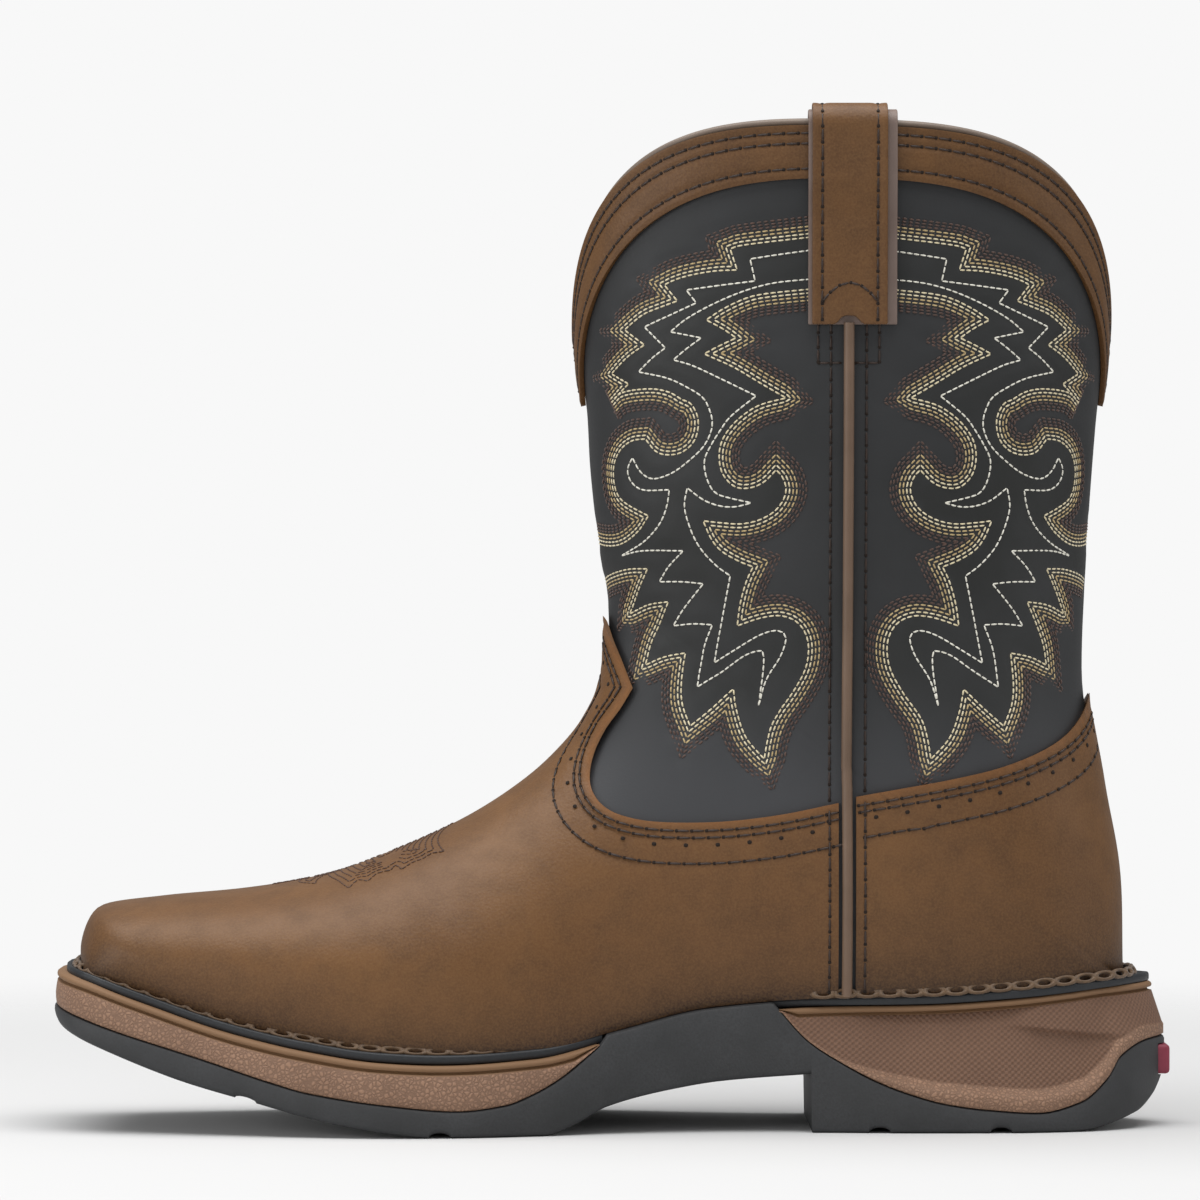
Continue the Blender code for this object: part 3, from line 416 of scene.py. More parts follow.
MIDDLE_LINE = [
    [(812, 250), (776, 255), (750, 259)],
    [(755, 281)],
    [(723, 285), (686, 290)],
    [(696, 303)],
    [(670, 315), (644, 327)],
    [(665, 348)],
    [(652, 358), (638, 372)],
    [(666, 378), (686, 387), (703, 398), (710, 412), (712, 420), (711, 431), (703, 447), (686, 463)]
    + [(670, 474), (652, 479), (640, 472), (632, 458)],
    [(627, 469), (630, 481), (642, 490), (669, 490)],
    [(666, 508), (658, 526), (642, 543), (621, 556)],
    [(642, 551), (683, 551)],
    [(668, 567), (659, 582)],
    [(682, 582), (703, 584)],
    [(684, 608), (673, 626)],
    [(693, 624), (712, 625)],
    [(703, 651), (697, 687)],
    [(723, 671), (744, 656), (758, 651), (763, 653), (763, 671), (758, 706)],
    [(766, 680), (780, 657), (786, 639), (782, 632), (772, 631), (756, 637), (733, 651), (714, 663)],
    [(721, 624), (730, 576)],
    [(715, 565), (699, 547), (689, 526), (684, 506), (687, 488)],
    [(703, 500), (719, 506), (735, 507), (751, 503)],
    [(729, 498), (715, 493), (707, 480), (704, 461), (711, 445), (721, 429), (731, 416), (756, 396)],
    [(723, 380), (693, 366), (673, 360)],
    [(686, 349), (701, 338)],
    [(686, 335), (670, 332)],
    [(686, 319), (713, 304), (744, 291), (774, 283), (812, 279)],
]
# Threads of the rows from the inside of the flame out, and how far out each is sewn
PATTERN_ROWS = [("cream", 0.0), ("cream", 1.0), ("tan", 2.0), ("tan", 3.0)]
PATTERN_ROWS += [("dark", 3.9), ("dark", 4.75), ("dark", 5.6)]
TIP_BLUNTNESS, MIDDLE_CLEAR = 0.55, 0.003


def charted(chart):
    """A chart's line, unrolled, as points half a millimetre apart."""
    line = []
    end = []
    for stretch in chart:
        line.append(flowing(pixel_on_upper([*end, *stretch])))
        end = stretch[-1:]
    joined = np.concatenate(line)
    fresh = np.concatenate([[True], np.linalg.norm(np.diff(joined, axis=0), axis=1) > 1e-6])
    return joined[fresh]


flame_top, flame_foot, middle_line = charted(FLAME_TOP), charted(FLAME_FOOT), charted(MIDDLE_LINE)
pattern = {"cream": [], "tan": [], "dark": [], "white": [middle_line]}
for thread, out in PATTERN_ROWS:
    for line in (flame_top, flame_foot):
        pattern[thread].append(short_of_middle(parallel_row(line, out, TIP_BLUNTNESS) if out else line))


# Shaft
# The upper's wall of smooth oiled leather dyed slate grey, closed up the back of the last and up both
# sides. The stitched rows pull it down a little, so the plain leather between them stands up softly.

SHAFT_THICK = 1.25
SHAFT_COLUMNS, SHAFT_ROWS = 228, 180
STITCH_SINK, STITCH_SINK_REACH = 0.34, 1.8
TOPLINE = {"dip": 220.0, "peak": 276.9, "power": 3.1, "tilt": 1.2}
DIP_ROUNDING = 0.05
# Shares of the sheet's rows spent from the toe to the instep, then up to the calf, then up to the topline
ROW_SHARES = ((0.0, 0.0), (0.1, 8.0), (0.64, float(ROW["calf"])))


def drape(name, columns, rows, form):
    """A grid laid on a form, which gives points in mm for shares across and along the grid."""
    bpy.ops.object.select_all(action="DESELECT")
    bpy.ops.mesh.primitive_grid_add(x_subdivisions=columns, y_subdivisions=rows, size=1.0)
    piece = bpy.context.object
    piece.name = piece.data.name = name
    flat = np.empty(len(piece.data.vertices) * 3, np.float32)
    piece.data.vertices.foreach_get("co", flat)
    shares = np.clip(flat.reshape(-1, 3).astype(float) + 0.5, 0, 1)
    points = form(shares[:, 0], shares[:, 1]) * MM
    piece.data.vertices.foreach_set("co", points.astype(np.float32).ravel())
    piece.data.update()
    return piece


def weld(piece, outwards=True):
    """Merges the edges that meet, and turns the faces outwards."""
    only(piece)
    bpy.ops.object.mode_set(mode="EDIT")
    bpy.ops.mesh.select_all(action="SELECT")
    bpy.ops.mesh.remove_doubles(threshold=0.005 * MM)
    if outwards:
        bpy.ops.mesh.normals_make_consistent(inside=False)
    bpy.ops.object.mode_set(mode="OBJECT")


def apply(piece, kind, **settings):
    """Adds a modifier and applies it."""
    modifier = piece.modifiers.new(kind.lower(), kind)
    for name, value in settings.items():
        setattr(modifier, name, value)
    only(piece)
    bpy.ops.object.modifier_apply(modifier=modifier.name)


def smooth_faces(piece, angle=35):
    """Shades a piece smooth, with its sharper edges kept crisp."""
    only(piece)
    bpy.ops.object.shade_smooth_by_angle(angle=math.radians(angle))


def paint(piece, name, values):
    """Keeps a number at each vertex, for the material to read."""
    layer = piece.data.attributes.new(name, "FLOAT", "POINT")
    layer.data.foreach_set("value", np.asarray(values, np.float32))


def put_on_boot(piece, material, slot=None, *nodes):
    """Gives a finished piece its material, its place in the frame and the CAD nodes that it stands for."""
    piece.data.materials.clear()
    piece.data.materials.append(material)
    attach(piece, "root")
    if nodes:
        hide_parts(*nodes)


def scallop(edge, around):
    """Height of a scalloped edge: low at front and back, high at the sides."""

    def rise(cosine):
        return (1 - (cosine * (1 - DIP_ROUNDING**2)) ** edge["power"]) ** (1 / edge["power"])

    cosine = np.cos(around * np.pi)
    share = (rise(np.abs(cosine)) - rise(1.0)) / (1 - rise(1.0))
    return edge["dip"] + (edge["peak"] - edge["dip"] + edge["tilt"] * cosine) * share


def near(points, lines):
    """Distance in mm of each point to the nearest point of these lines."""
    spots = np.concatenate(lines)
    tree = KDTree(len(spots))
    for i, spot in enumerate(spots):
        tree.insert(spot, i)
    tree.balance()
    return np.array([tree.find(point)[2] for point in points])


def on_side(line, side, lift=0.0):
    """Points and normals of an unrolled line on the inner (-1) or outer (+1) side, lifted off the leather."""
    turn, row = spot_on_upper(line[:, 0], line[:, 1])
    normals = upper_normal(side * turn, row)
    return upper_point(side * turn, row) + normals * lift, normals


def all_panels(line):
    """(line, side) pairs: a line of the front half and its mirror image behind the seam, on both sides."""
    behind = line * (-1, 1)
    return [(line, -1), (behind, -1), (line, 1), (behind, 1)]


def shaft_spot(across, along):
    """(around, row) for shares of the shaft's sheet, which runs from the feather edge up to the topline."""
    around = 1 - 2 * across
    shares, rows = np.array(ROW_SHARES).T
    row = np.interp(along, shares, rows)
    above = along > shares[-1]
    start = upper_point(around, rows[-1])[:, 2]
    rise = (along - shares[-1]) / (1 - shares[-1])
    heights = start + (scallop(TOPLINE, around) - start) * np.clip(rise, 0, 1)
    top = row_at_height(np.abs(around), heights, "throat")
    return around, np.where(above, top, row)


pattern_points = [
    on_side(line, side)[0] for lines in pattern.values() for line in lines for line, side in all_panels(line)
]


def shaft_form(across, along):
    around, row = shaft_spot(across, along)
    points = upper_point(around, row)
    sink = STITCH_SINK * np.exp(-((near(points, pattern_points) / STITCH_SINK_REACH) ** 2))
    return points - upper_normal(around, row) * sink[:, None]


def inside(points, outline):
    """Whether points lie inside an outline, by counting the edges that a level line crosses."""
    crossings = np.zeros(len(points), int)
    for (ax, ay), (bx, by) in zip(outline, np.roll(outline, -1, axis=0)):
        if ay == by:
            continue
        over = (points[:, 1] < ay) != (points[:, 1] < by)
        crossings += over & (points[:, 0] < ax + (points[:, 1] - ay) * (bx - ax) / (by - ay))
    return crossings % 2 == 1


shaft = drape("shaft", SHAFT_COLUMNS, SHAFT_ROWS, shaft_form)
weld(shaft, outwards=False)
apply(shaft, "SOLIDIFY", thickness=SHAFT_THICK * MM, offset=-1.0)
smooth_faces(shaft)
flat = np.empty(len(shaft.data.vertices) * 3, np.float32)
shaft.data.vertices.foreach_get("co", flat)
places = flat.reshape(-1, 3).astype(float) / MM
unrolled = np.stack([np.abs(forward_of_seam(places[:, 0], places[:, 2])), places[:, 2]], axis=-1)
paint(shaft, "inside_flame", inside(unrolled, np.concatenate([flame_top[::4], flame_foot[::4]])))

# Oiled nubuck dyed slate grey: even and dry, with a very fine grain and a soft broad sheen. The ground
# inside the flame looks a little darker and greener than the rest. Towards the ankle the shaft is painted
# paler, a painted highlight where it turns up to the light.
SHAFT_GRAIN = 0.7  # mm
SHAFT_CLOUD = 26.0
# Heights over which the painted highlight at the shaft's foot fades out
PAINTED_LIGHT_Z = (84.0, 132.0)
slate_leather, tree = new_material("oiled_slate_leather")
place = add_node(tree, "TexCoord").outputs["Object"]
cloud = add_node(
    tree, "TexNoise", None, {"Vector": place, "Scale": 1 / (SHAFT_CLOUD * MM), "Detail": 3.0}
).outputs[0]
grain = add_node(
    tree, "TexNoise", None, {"Vector": place, "Scale": 1 / (SHAFT_GRAIN * MM), "Detail": 2.0}
).outputs[0]
panel = add_node(tree, "Attribute", {"attribute_name": "inside_flame"}).outputs["Fac"]
ground = add_node(
    tree, "Mix", {"data_type": "RGBA"}, {0: panel, 6: linear("#2c2d2e"), 7: linear("#262726")}
).outputs[2]
# Painted highlight: the shaft is painted paler towards its foot, where it turns up to the light.
height = add_node(tree, "SeparateXYZ", None, {0: place}).outputs["Z"]
painted_light_share = add_node(
    tree,
    "MapRange",
    {"interpolation_type": "SMOOTHSTEP"},
    {"Value": height, "From Min": PAINTED_LIGHT_Z[0] * MM, "From Max": PAINTED_LIGHT_Z[1] * MM, "To Min": 0.8, "To Max": 0.0},
).outputs["Result"]
painted_light = add_node(tree, "Mix", {"data_type": "RGBA"}, {0: painted_light_share, 6: ground, 7: linear("#424346")}).outputs[2]
worn = add_node(
    tree, "MapRange", None, {"Value": cloud, "From Min": 0.35, "From Max": 0.75, "To Max": 0.5}
).outputs[0]
clouded = add_node(
    tree, "Mix", {"data_type": "RGBA"}, {0: worn, 6: painted_light, 7: linear("#38393b")}
).outputs[2]
gloss = add_node(tree, "MapRange", None, {"Value": grain, "To Min": 0.46, "To Max": 0.62}).outputs[0]
relief = add_node(tree, "Bump", None, {"Height": grain, "Strength": 0.12, "Distance": 0.2 * MM}).outputs[0]
shader = add_node(
    tree,
    "BsdfPrincipled",
    None,
    {"Base Color": clouded, "Roughness": gloss, "IOR": 1.45, "Specular IOR Level": 0.38, "Normal": relief},
).outputs[0]
add_node(tree, "OutputMaterial", None, {"Surface": shader})
put_on_boot(shaft, slate_leather, "slate_leather", "upper")


# Lining
# Soft pigskin glued and sewn inside the shaft and the foot, pale fawn and matt. It shows when one looks
# down into the boot, and it closes the wall to its full thickness.

LINING_LIFT, LINING_THICK = 1.32, 1.05
LINING_COLUMNS, LINING_ROWS = 112, 84


def lining_form(across, along):
    around, row = shaft_spot(across, along)
    return upper_point(around, row) - upper_normal(around, row) * LINING_LIFT


lining = drape("lining", LINING_COLUMNS, LINING_ROWS, lining_form)
weld(lining, outwards=False)
apply(lining, "SOLIDIFY", thickness=LINING_THICK * MM, offset=-1.0)
smooth_faces(lining)

# Pigskin: fawn, dull, with scattered pores that show as a faint speckle.
LINING_PORE = 2.4
pigskin, tree = new_material("fawn_pigskin")
place = add_node(tree, "TexCoord").outputs["Object"]
pores = add_node(
    tree, "TexVoronoi", None, {"Vector": place, "Scale": 1 / (LINING_PORE * MM)}
).outputs["Distance"]
speck = add_node(
    tree, "MapRange", None, {"Value": pores, "From Max": 0.25, "To Min": 1.0, "To Max": 0.0}
).outputs[0]
tone = add_node(
    tree, "Mix", {"data_type": "RGBA"}, {0: speck, 6: linear("#b79a78"), 7: linear("#8a6f52")}
).outputs[2]
relief = add_node(tree, "Bump", None, {"Height": pores, "Strength": 0.2, "Distance": 0.2 * MM}).outputs[0]
shader = add_node(
    tree, "BsdfPrincipled", None, {"Base Color": tone, "Roughness": 0.82, "Normal": relief}
).outputs[0]
add_node(tree, "OutputMaterial", None, {"Surface": shader})
put_on_boot(lining, pigskin)


# Shaft threads
# Bonded polyester thread, sewn by machine at about thirteen stitches to the inch: cream and tan rows inside
# the flame, dark brown rows round it and one white row along its middle.

STITCH_PITCH, STITCH_SHARE = 1.9, 0.86  # a stitch shows over this share of its pitch
LOOSE_SHARE, TIGHT_SHARE = 0.76, 0.92  # the same for the dark rows and for the white row
SHAFT_THREAD, LOOSE_THREAD = 0.54, 0.66  # across, drawn a little fat so that a stitch shows
SHARP_TURN = math.radians(32)
STITCH_SEAT = 0.9  # share of the sunk leather's depth at which the thread lies

# One stitch, modelled once: a ball pulled out to a grain of rice, with its ends drawn down into the leather
bpy.ops.object.select_all(action="DESELECT")
bpy.ops.mesh.primitive_uv_sphere_add(segments=6, ring_count=4, radius=1.0)
grain_of_rice = bpy.context.object
bpy.ops.object.mode_set(mode="EDIT")
bpy.ops.mesh.select_all(action="SELECT")
bpy.ops.transform.resize(value=(1.0, 0.75, 1.0))
bpy.ops.object.mode_set(mode="OBJECT")
STITCH_POINTS = np.array([vertex.co for vertex in grain_of_rice.data.vertices])
STITCH_POINTS[:, 1] += 0.35 - 0.9 * STITCH_POINTS[:, 2] ** 6
STITCH_POINTS[:, 2] *= np.where(np.abs(STITCH_POINTS[:, 2]) < 0.9, 1.12, 1.0)
STITCH_FACES = [list(face.vertices) for face in grain_of_rice.data.polygons]
bpy.data.objects.remove(grain_of_rice)


def stitch_places(points, normals, pitch, share):
    """(start, end, normal) of the stitches along a line, with a needle hole at each of its corners."""
    ahead = np.diff(points, axis=0)
    lengths = np.linalg.norm(ahead, axis=1)
    keep = np.concatenate([[True], lengths > 1e-4])
    points, normals = points[keep], normals[keep]
    ahead = np.diff(points, axis=0)
    ahead /= np.linalg.norm(ahead, axis=1, keepdims=True)
    turn = np.arccos(np.clip((ahead[:-1] * ahead[1:]).sum(1), -1, 1))
    corners = [0, *(np.nonzero(turn > SHARP_TURN)[0] + 1), len(points) - 1]
    places = []
    for first, last in zip(corners, corners[1:]):
        run, run_normals = points[first : last + 1], normals[first : last + 1]
        along = np.concatenate([[0], np.cumsum(np.linalg.norm(np.diff(run, axis=0), axis=1))])
        count = round(along[-1] / pitch)
        if count < 1:
            continue
        step = along[-1] / count
        rest = step * (1 - share) / 2
        for k in range(count):
            start, end = (
                np.array([np.interp(s, along, run[:, c]) for c in range(3)])
                for s in (k * step + rest, (k + 1) * step - rest)
            )
            up = np.array([np.interp((k + 0.5) * step, along, run_normals[:, c]) for c in range(3)])
            places.append((start, end, up / np.linalg.norm(up)))
    return places


def joined_copies(name, shape, faces, places, width, height):
    """Copies of a small shape as one mesh, laid from each start to its end with its back to the normal."""
    starts, ends, normals = (np.array(column) for column in zip(*places))
    ahead = ends - starts
    half = np.linalg.norm(ahead, axis=1, keepdims=True) / 2
    ahead = ahead / (2 * half)
    side = np.cross(normals, ahead)
    side /= np.linalg.norm(side, axis=1, keepdims=True)
    up = np.cross(ahead, side)
    middle = (starts + ends) / 2
    points = (
        middle[:, None]
        + side[:, None] * shape[None, :, :1] * width / 2
        + up[:, None] * shape[None, :, 1:2] * height / 2
        + (ahead * half)[:, None] * shape[None, :, 2:3]
    )
    count = len(shape)
    copies = [[corner + k * count for corner in face] for k in range(len(places)) for face in faces]
    mesh = bpy.data.meshes.new(name)
    mesh.from_pydata(points.reshape(-1, 3) * MM, [], copies)
    piece = bpy.data.objects.new(name, mesh)
    bpy.context.scene.collection.objects.link(piece)
    mesh.shade_smooth()
    return piece


def sew(name, lines, thread, pitch, width, share=STITCH_SHARE, slot=None):
    """Stitches along lines, each given as (points, normals), as one piece. Returns where they lie."""
    places = [place for line in lines if len(line[0]) > 2 for place in stitch_places(*line, pitch, share)]
    put_on_boot(joined_copies(name, STITCH_POINTS, STITCH_FACES, places, width, width), thread, slot)
    return places


# Polyester thread: smooth filaments with a soft shine, and a slight change of tone from stitch to stitch.
def thread_material(name, light, dark, sheen=0.2):
    material, tree = new_material(name)
    place = add_node(tree, "TexCoord").outputs["Object"]
    fleck = add_node(
        tree, "TexNoise", None, {"Vector": place, "Scale": 1 / (1.2 * MM), "Detail": 1.0}
    ).outputs[0]
    tone = add_node(
        tree, "Mix", {"data_type": "RGBA"}, {0: fleck, 6: linear(dark), 7: linear(light)}
    ).outputs[2]
    shader = add_node(
        tree,
        "BsdfPrincipled",
        None,
        {"Base Color": tone, "Roughness": 0.5, "IOR": 1.5, "Sheen Weight": sheen},
    ).outputs[0]
    add_node(tree, "OutputMaterial", None, {"Surface": shader})
    return material


SHAFT_THREADS = {  # material, width and share of each row
    "cream": (thread_material("cream_thread", "#efe6c9", "#cbb98c"), SHAFT_THREAD, STITCH_SHARE),
    "tan": (thread_material("tan_thread", "#d3bd8c", "#9c8256"), SHAFT_THREAD, STITCH_SHARE),
    "dark": (thread_material("dark_brown_thread", "#5c4034", "#33231c"), LOOSE_THREAD, LOOSE_SHARE),
    "white": (thread_material("white_thread", "#f4f2e8", "#d6d2c2"), SHAFT_THREAD, TIGHT_SHARE),
}
for thread, lines in pattern.items():
    sunk = -STITCH_SINK * STITCH_SEAT
    laid = [on_side(line, side, sunk) for line in lines for line, side in all_panels(line)]
    material, width, share = SHAFT_THREADS[thread]
    sew("shaft_stitching_" + thread, laid, material, STITCH_PITCH, width, share)


# Vamp
# One piece of brown oiled leather lasted over the toe and instep, with a pointed tab up the front of the
# shaft. It is sewn on along its edge by two rows and one further in, with a row of punched holes between.

OVERLAY_LIFT, OVERLAY_THICK = 0.5, 1.4
OVERLAY_TOP = OVERLAY_LIFT + OVERLAY_THICK
SEAM_SLOT = 2.4
VAMP_EDGE = [  # (x, z) seen from the side, from the tip of the tab to the side seam
    [(-3.3, 143.4), (-1.4, 141.0), (0.3, 136.0), (2.7, 130.2), (5.7, 122.5)],
    [(5.7, 122.5), (2.4, 117.0), (-1.7, 111.3), (-4.8, 105.1), (-6.2, 99.1), (-5.6, 94.2), (-2.3, 89.9)]
    + [(3.5, 87.2), (13.2, 85.7), (29.7, 85.8), (46.2, 87.7), (SIDE_SEAM_X - SEAM_SLOT, 91.0)],
]
FEATHER = [  # (x, z) of the line along which the upper meets the welt
    (-156.0, 46.4), (-146.2, 43.9), (-133.0, 39.4), (-105.0, 30.3), (-85.0, 25.9), (-64.0, 22.9),
    (-46.0, 22.1), (-20.0, 23.4), (2.0, 28.6), (26.0, 34.4), (55.0, 36.8), (88.0, 37.5), (115.0, 39.3),
    (141.6, 41.8), (156.0, 42.6),
]
EDGE_ROWS = (2.5, 4.4, 11.4)  # stitch rows in from the edge
EDGE_HOLES, HOLE_PITCH, HOLE_WIDTH, HOLE_HEIGHT = 6.4, 8.8, 1.3, 0.3
EDGE_ROUNDING, EDGE_DROP = 1.3, 0.55
OVERLAY_SINK, OVERLAY_SINK_REACH, STITCH_DEPTH = 0.4, 1.0, 0.2
VAMP_BURNISH_AND_SHADE = 9.0  # how far up from the feather edge the leather is burnished dark and carries painted shade
BURNISH_AND_SHADE_SHARE, WELT_SHADE_SHARE = 0.75, 0.4  # how dark the burnish and painted shade are, and how much darker the painted shade by the welt is in the lowest third
CUT_EDGE_REACH = 1.2
OVERLAY_THREAD, OVERLAY_PITCH = 0.75, 4.1
NEEDLE_HOLE, NEEDLE_HOLE_HEIGHT = 1.1, 0.5
CUT_BEVEL, CUT_CORNER = 0.35, math.radians(50)  # how cut edges are broken, and which corners are
VAMP_COLUMNS, VAMP_LEVELS = 190, 120
BEYOND_X = 160.0  # past the toe and the heel
feather_z = curve_through(*np.array(FEATHER).T)


def side_line(stretches):
    """A line charted from the side in mm, unrolled."""
    points = np.concatenate([flowing(stretch, 0.8) for stretch in stretches])
    return np.stack([forward_of_seam(points[:, 0], points[:, 1]), points[:, 1]], axis=-1), points


def edge_rows(edge):
    """The stitch rows and the line of holes of an overlay's edge, unrolled."""
    fresh = np.concatenate([[True], np.linalg.norm(np.diff(edge, axis=0), axis=1) > 1e-3])
    rows = [short_of_middle(parallel_row(edge[fresh], gap)) for gap in (*EDGE_ROWS, EDGE_HOLES)]
    return rows[:-1], rows[-1]


def both_sides(lines, lift):
    """Points and normals of unrolled lines on the inner and the outer side."""
    return [on_side(line, side, lift) for line in lines for side in (-1, 1)]


# Creases of the vamp and ankle: (x, z) of both ends seen from the side, depth and reach in mm
CREASES = [
    ((-62.0, 72.0), (-50.0, 44.0), 0.45, 5.0),
    ((-48.0, 78.0), (-40.0, 50.0), 0.4, 4.5),
    ((-14.0, 98.0), (10.0, 70.0), 0.5, 7.0),
]


def overlay_form(edge_lines, sewn_lines, first_row, last_row):
    """The outer face of leather sewn over the upper: rounded down at its edge, drawn in along stitches."""
    edge_points = [points for points, _ in both_sides(edge_lines, 0.0)]
    sewn_points = [points for points, _ in both_sides(sewn_lines, 0.0)]

    def form(across, along):
        around, row = 1 - 2 * across, first_row + along * (last_row - first_row)
        points, normals = upper_point(around, row), upper_normal(around, row)
        height = np.full(len(points), OVERLAY_TOP)
        height -= EDGE_DROP * np.exp(-((near(points, edge_points) / EDGE_ROUNDING) ** 2))
        height -= OVERLAY_SINK * np.exp(-((near(points, sewn_points) / OVERLAY_SINK_REACH) ** 2))
        for start, end, depth, reach in CREASES:
            start, end = np.array(start), np.array(end)
            run = end - start
            from_start = points[:, [0, 2]] - start
            share = np.clip(from_start @ run / (run @ run), 0, 1)
            away = np.linalg.norm(from_start - share[:, None] * run, axis=1)
            fade = np.sin(np.clip(share, 0.02, 0.98) * np.pi)
            height -= depth * fade * np.exp(-((away / reach) ** 2))
        return points + normals * height[:, None]

    return form


def cut_out(piece, outline, reach=160.0):
    """Keeps the part of a piece inside an outline seen from the side."""
    after = [*outline[1:], outline[0]]
    outline = [point for point, other in zip(outline, after) if math.dist(point, other) > 1e-3]
    bpy.ops.object.select_all(action="DESELECT")
    bpy.ops.mesh.primitive_circle_add(vertices=len(outline), fill_type="NGON")
    knife = bpy.context.object
    for vertex, (x, z) in zip(knife.data.vertices, outline):
        vertex.co = (x * MM, -reach / 2 * MM, z * MM)
    bpy.ops.object.mode_set(mode="EDIT")
    bpy.ops.mesh.select_all(action="SELECT")
    bpy.ops.mesh.extrude_region_move(TRANSFORM_OT_translate={"value": (0, reach * MM, 0)})
    bpy.ops.mesh.select_all(action="SELECT")
    bpy.ops.mesh.normals_make_consistent(inside=False)
    bpy.ops.object.mode_set(mode="OBJECT")
    apply(piece, "BOOLEAN", operation="INTERSECT", object=knife, solver="EXACT", use_self=True)
    bpy.data.objects.remove(knife)


def mark_edges(piece, edge, burnish_and_shade):
    """Marks how near each vertex lies to the feather edge, burnished dark and painted with the shade by the
    welt, and to the raw cut edge.
    """
    flat = np.empty(len(piece.data.vertices) * 3, np.float32)
    piece.data.vertices.foreach_get("co", flat)
    places = flat.reshape(-1, 3).astype(float) / MM
    above = np.maximum(places[:, 2] - feather_z(places[:, 0]), 0)
    rubbed_and_shaded = BURNISH_AND_SHADE_SHARE * np.exp(-above / burnish_and_shade) + WELT_SHADE_SHARE * np.exp(-3 * above / burnish_and_shade)
    paint(piece, "burnish_and_shade", np.minimum(rubbed_and_shaded, 1.0))
    raw = near(places, [points for points, _ in both_sides([edge], OVERLAY_TOP / 2)])
    paint(piece, "cut_edge", np.exp(-((raw / CUT_EDGE_REACH) ** 2)))


def punch(name, line, lift):
    """Round holes along an unrolled line on both sides: small dishes let into the leather, dark with painted
    shade.
    """
    places = []
    for points, normals in both_sides([line], lift):
        along = np.concatenate([[0], np.cumsum(np.linalg.norm(np.diff(points, axis=0), axis=1))])
        for s in np.arange(HOLE_PITCH / 2, along[-1], HOLE_PITCH):
            point, normal = (
                np.array([np.interp(s, along, rows[:, c]) for c in range(3)]) for rows in (points, normals)
            )
            i = min(int(np.searchsorted(along, s)), len(points) - 1)
            ahead = points[i] - points[i - 1]
            ahead = ahead / np.linalg.norm(ahead) * HOLE_WIDTH / 2
            places.append((point - ahead, point + ahead, normal / np.linalg.norm(normal)))
    piece = joined_copies(name, STITCH_POINTS, STITCH_FACES, places, HOLE_WIDTH, HOLE_HEIGHT)
    put_on_boot(piece, hole_shade)


def sew_overlay(name, lines, pitch):
    """Stitches of heavy waxed thread, each with the painted shade of the needle hole that it has pulled open.
    """
    holes = []
    for start, end, normal in sew(name, lines, overlay_thread, pitch, OVERLAY_THREAD):
        ahead = (end - start) / np.linalg.norm(end - start) * NEEDLE_HOLE / 2
        holes.append((start - ahead, start + ahead, normal))
    size = (NEEDLE_HOLE, NEEDLE_HOLE_HEIGHT)
    piece = joined_copies(name + "_needle_hole_shade", STITCH_POINTS, STITCH_FACES, holes, *size)
    put_on_boot(piece, hole_shade)


# Inside of a punched hole: raw leather in shadow, nearly black and dull.
hole_shade, tree = new_material("punched_hole_shadow")
place = add_node(tree, "TexCoord").outputs["Object"]
fibre = add_node(tree, "TexNoise", None, {"Vector": place, "Scale": 1 / (0.6 * MM)}).outputs[0]
tone = add_node(
    tree, "Mix", {"data_type": "RGBA"}, {0: fibre, 6: linear("#120c08"), 7: linear("#2a1c12")}
).outputs[2]
shader = add_node(tree, "BsdfPrincipled", None, {"Base Color": tone, "Roughness": 0.95}).outputs[0]
add_node(tree, "OutputMaterial", None, {"Surface": shader})

# Oil-tanned cowhide: waxed brown leather whose oils move, so it is mottled light and dark over 7 to 40 mm,
# finely pebbled, with a broad satin shine. It is darker near the feather edge, partly burnished where it was
# rubbed and partly painted shade by the welt, and it is painted darker over the collar and straps as painted
# shade.
HIDE_CLOUD, HIDE_MOTTLE, HIDE_PEBBLE, HIDE_PORE = 42.0, 7.0, 0.9, 0.6
brown_leather, tree = new_material("waxed_brown_cowhide")
place = add_node(tree, "TexCoord").outputs["Object"]
cloud = add_node(
    tree, "TexNoise", None, {"Vector": place, "Scale": 1 / (HIDE_CLOUD * MM), "Detail": 4.0}
).outputs[0]
mottle = add_node(
    tree, "TexNoise", None, {"Vector": place, "Scale": 1 / (HIDE_MOTTLE * MM), "Detail": 8.0}
).outputs[0]
pebble = add_node(
    tree, "TexVoronoi", None, {"Vector": place, "Scale": 1 / (HIDE_PEBBLE * MM)}
).outputs["Distance"]
pore = add_node(
    tree, "TexNoise", None, {"Vector": place, "Scale": 1 / (HIDE_PORE * MM), "Detail": 2.0}
).outputs[0]
rubbed_and_shaded = add_node(tree, "Attribute", {"attribute_name": "burnish_and_shade"}).outputs["Fac"]
light = add_node(tree, "MapRange", None, {"Value": cloud, "From Min": 0.3, "From Max": 0.7}).outputs[0]
base = add_node(
    tree, "Mix", {"data_type": "RGBA"}, {0: light, 6: linear("#5f3f22"), 7: linear("#704d2b")}
).outputs[2]
spots = add_node(
    tree, "MapRange", None, {"Value": mottle, "From Min": 0.42, "From Max": 0.72, "To Max": 0.38}
).outputs[0]
mottled = add_node(tree, "Mix", {"data_type": "RGBA"}, {0: spots, 6: base, 7: linear("#48301c")}).outputs[2]
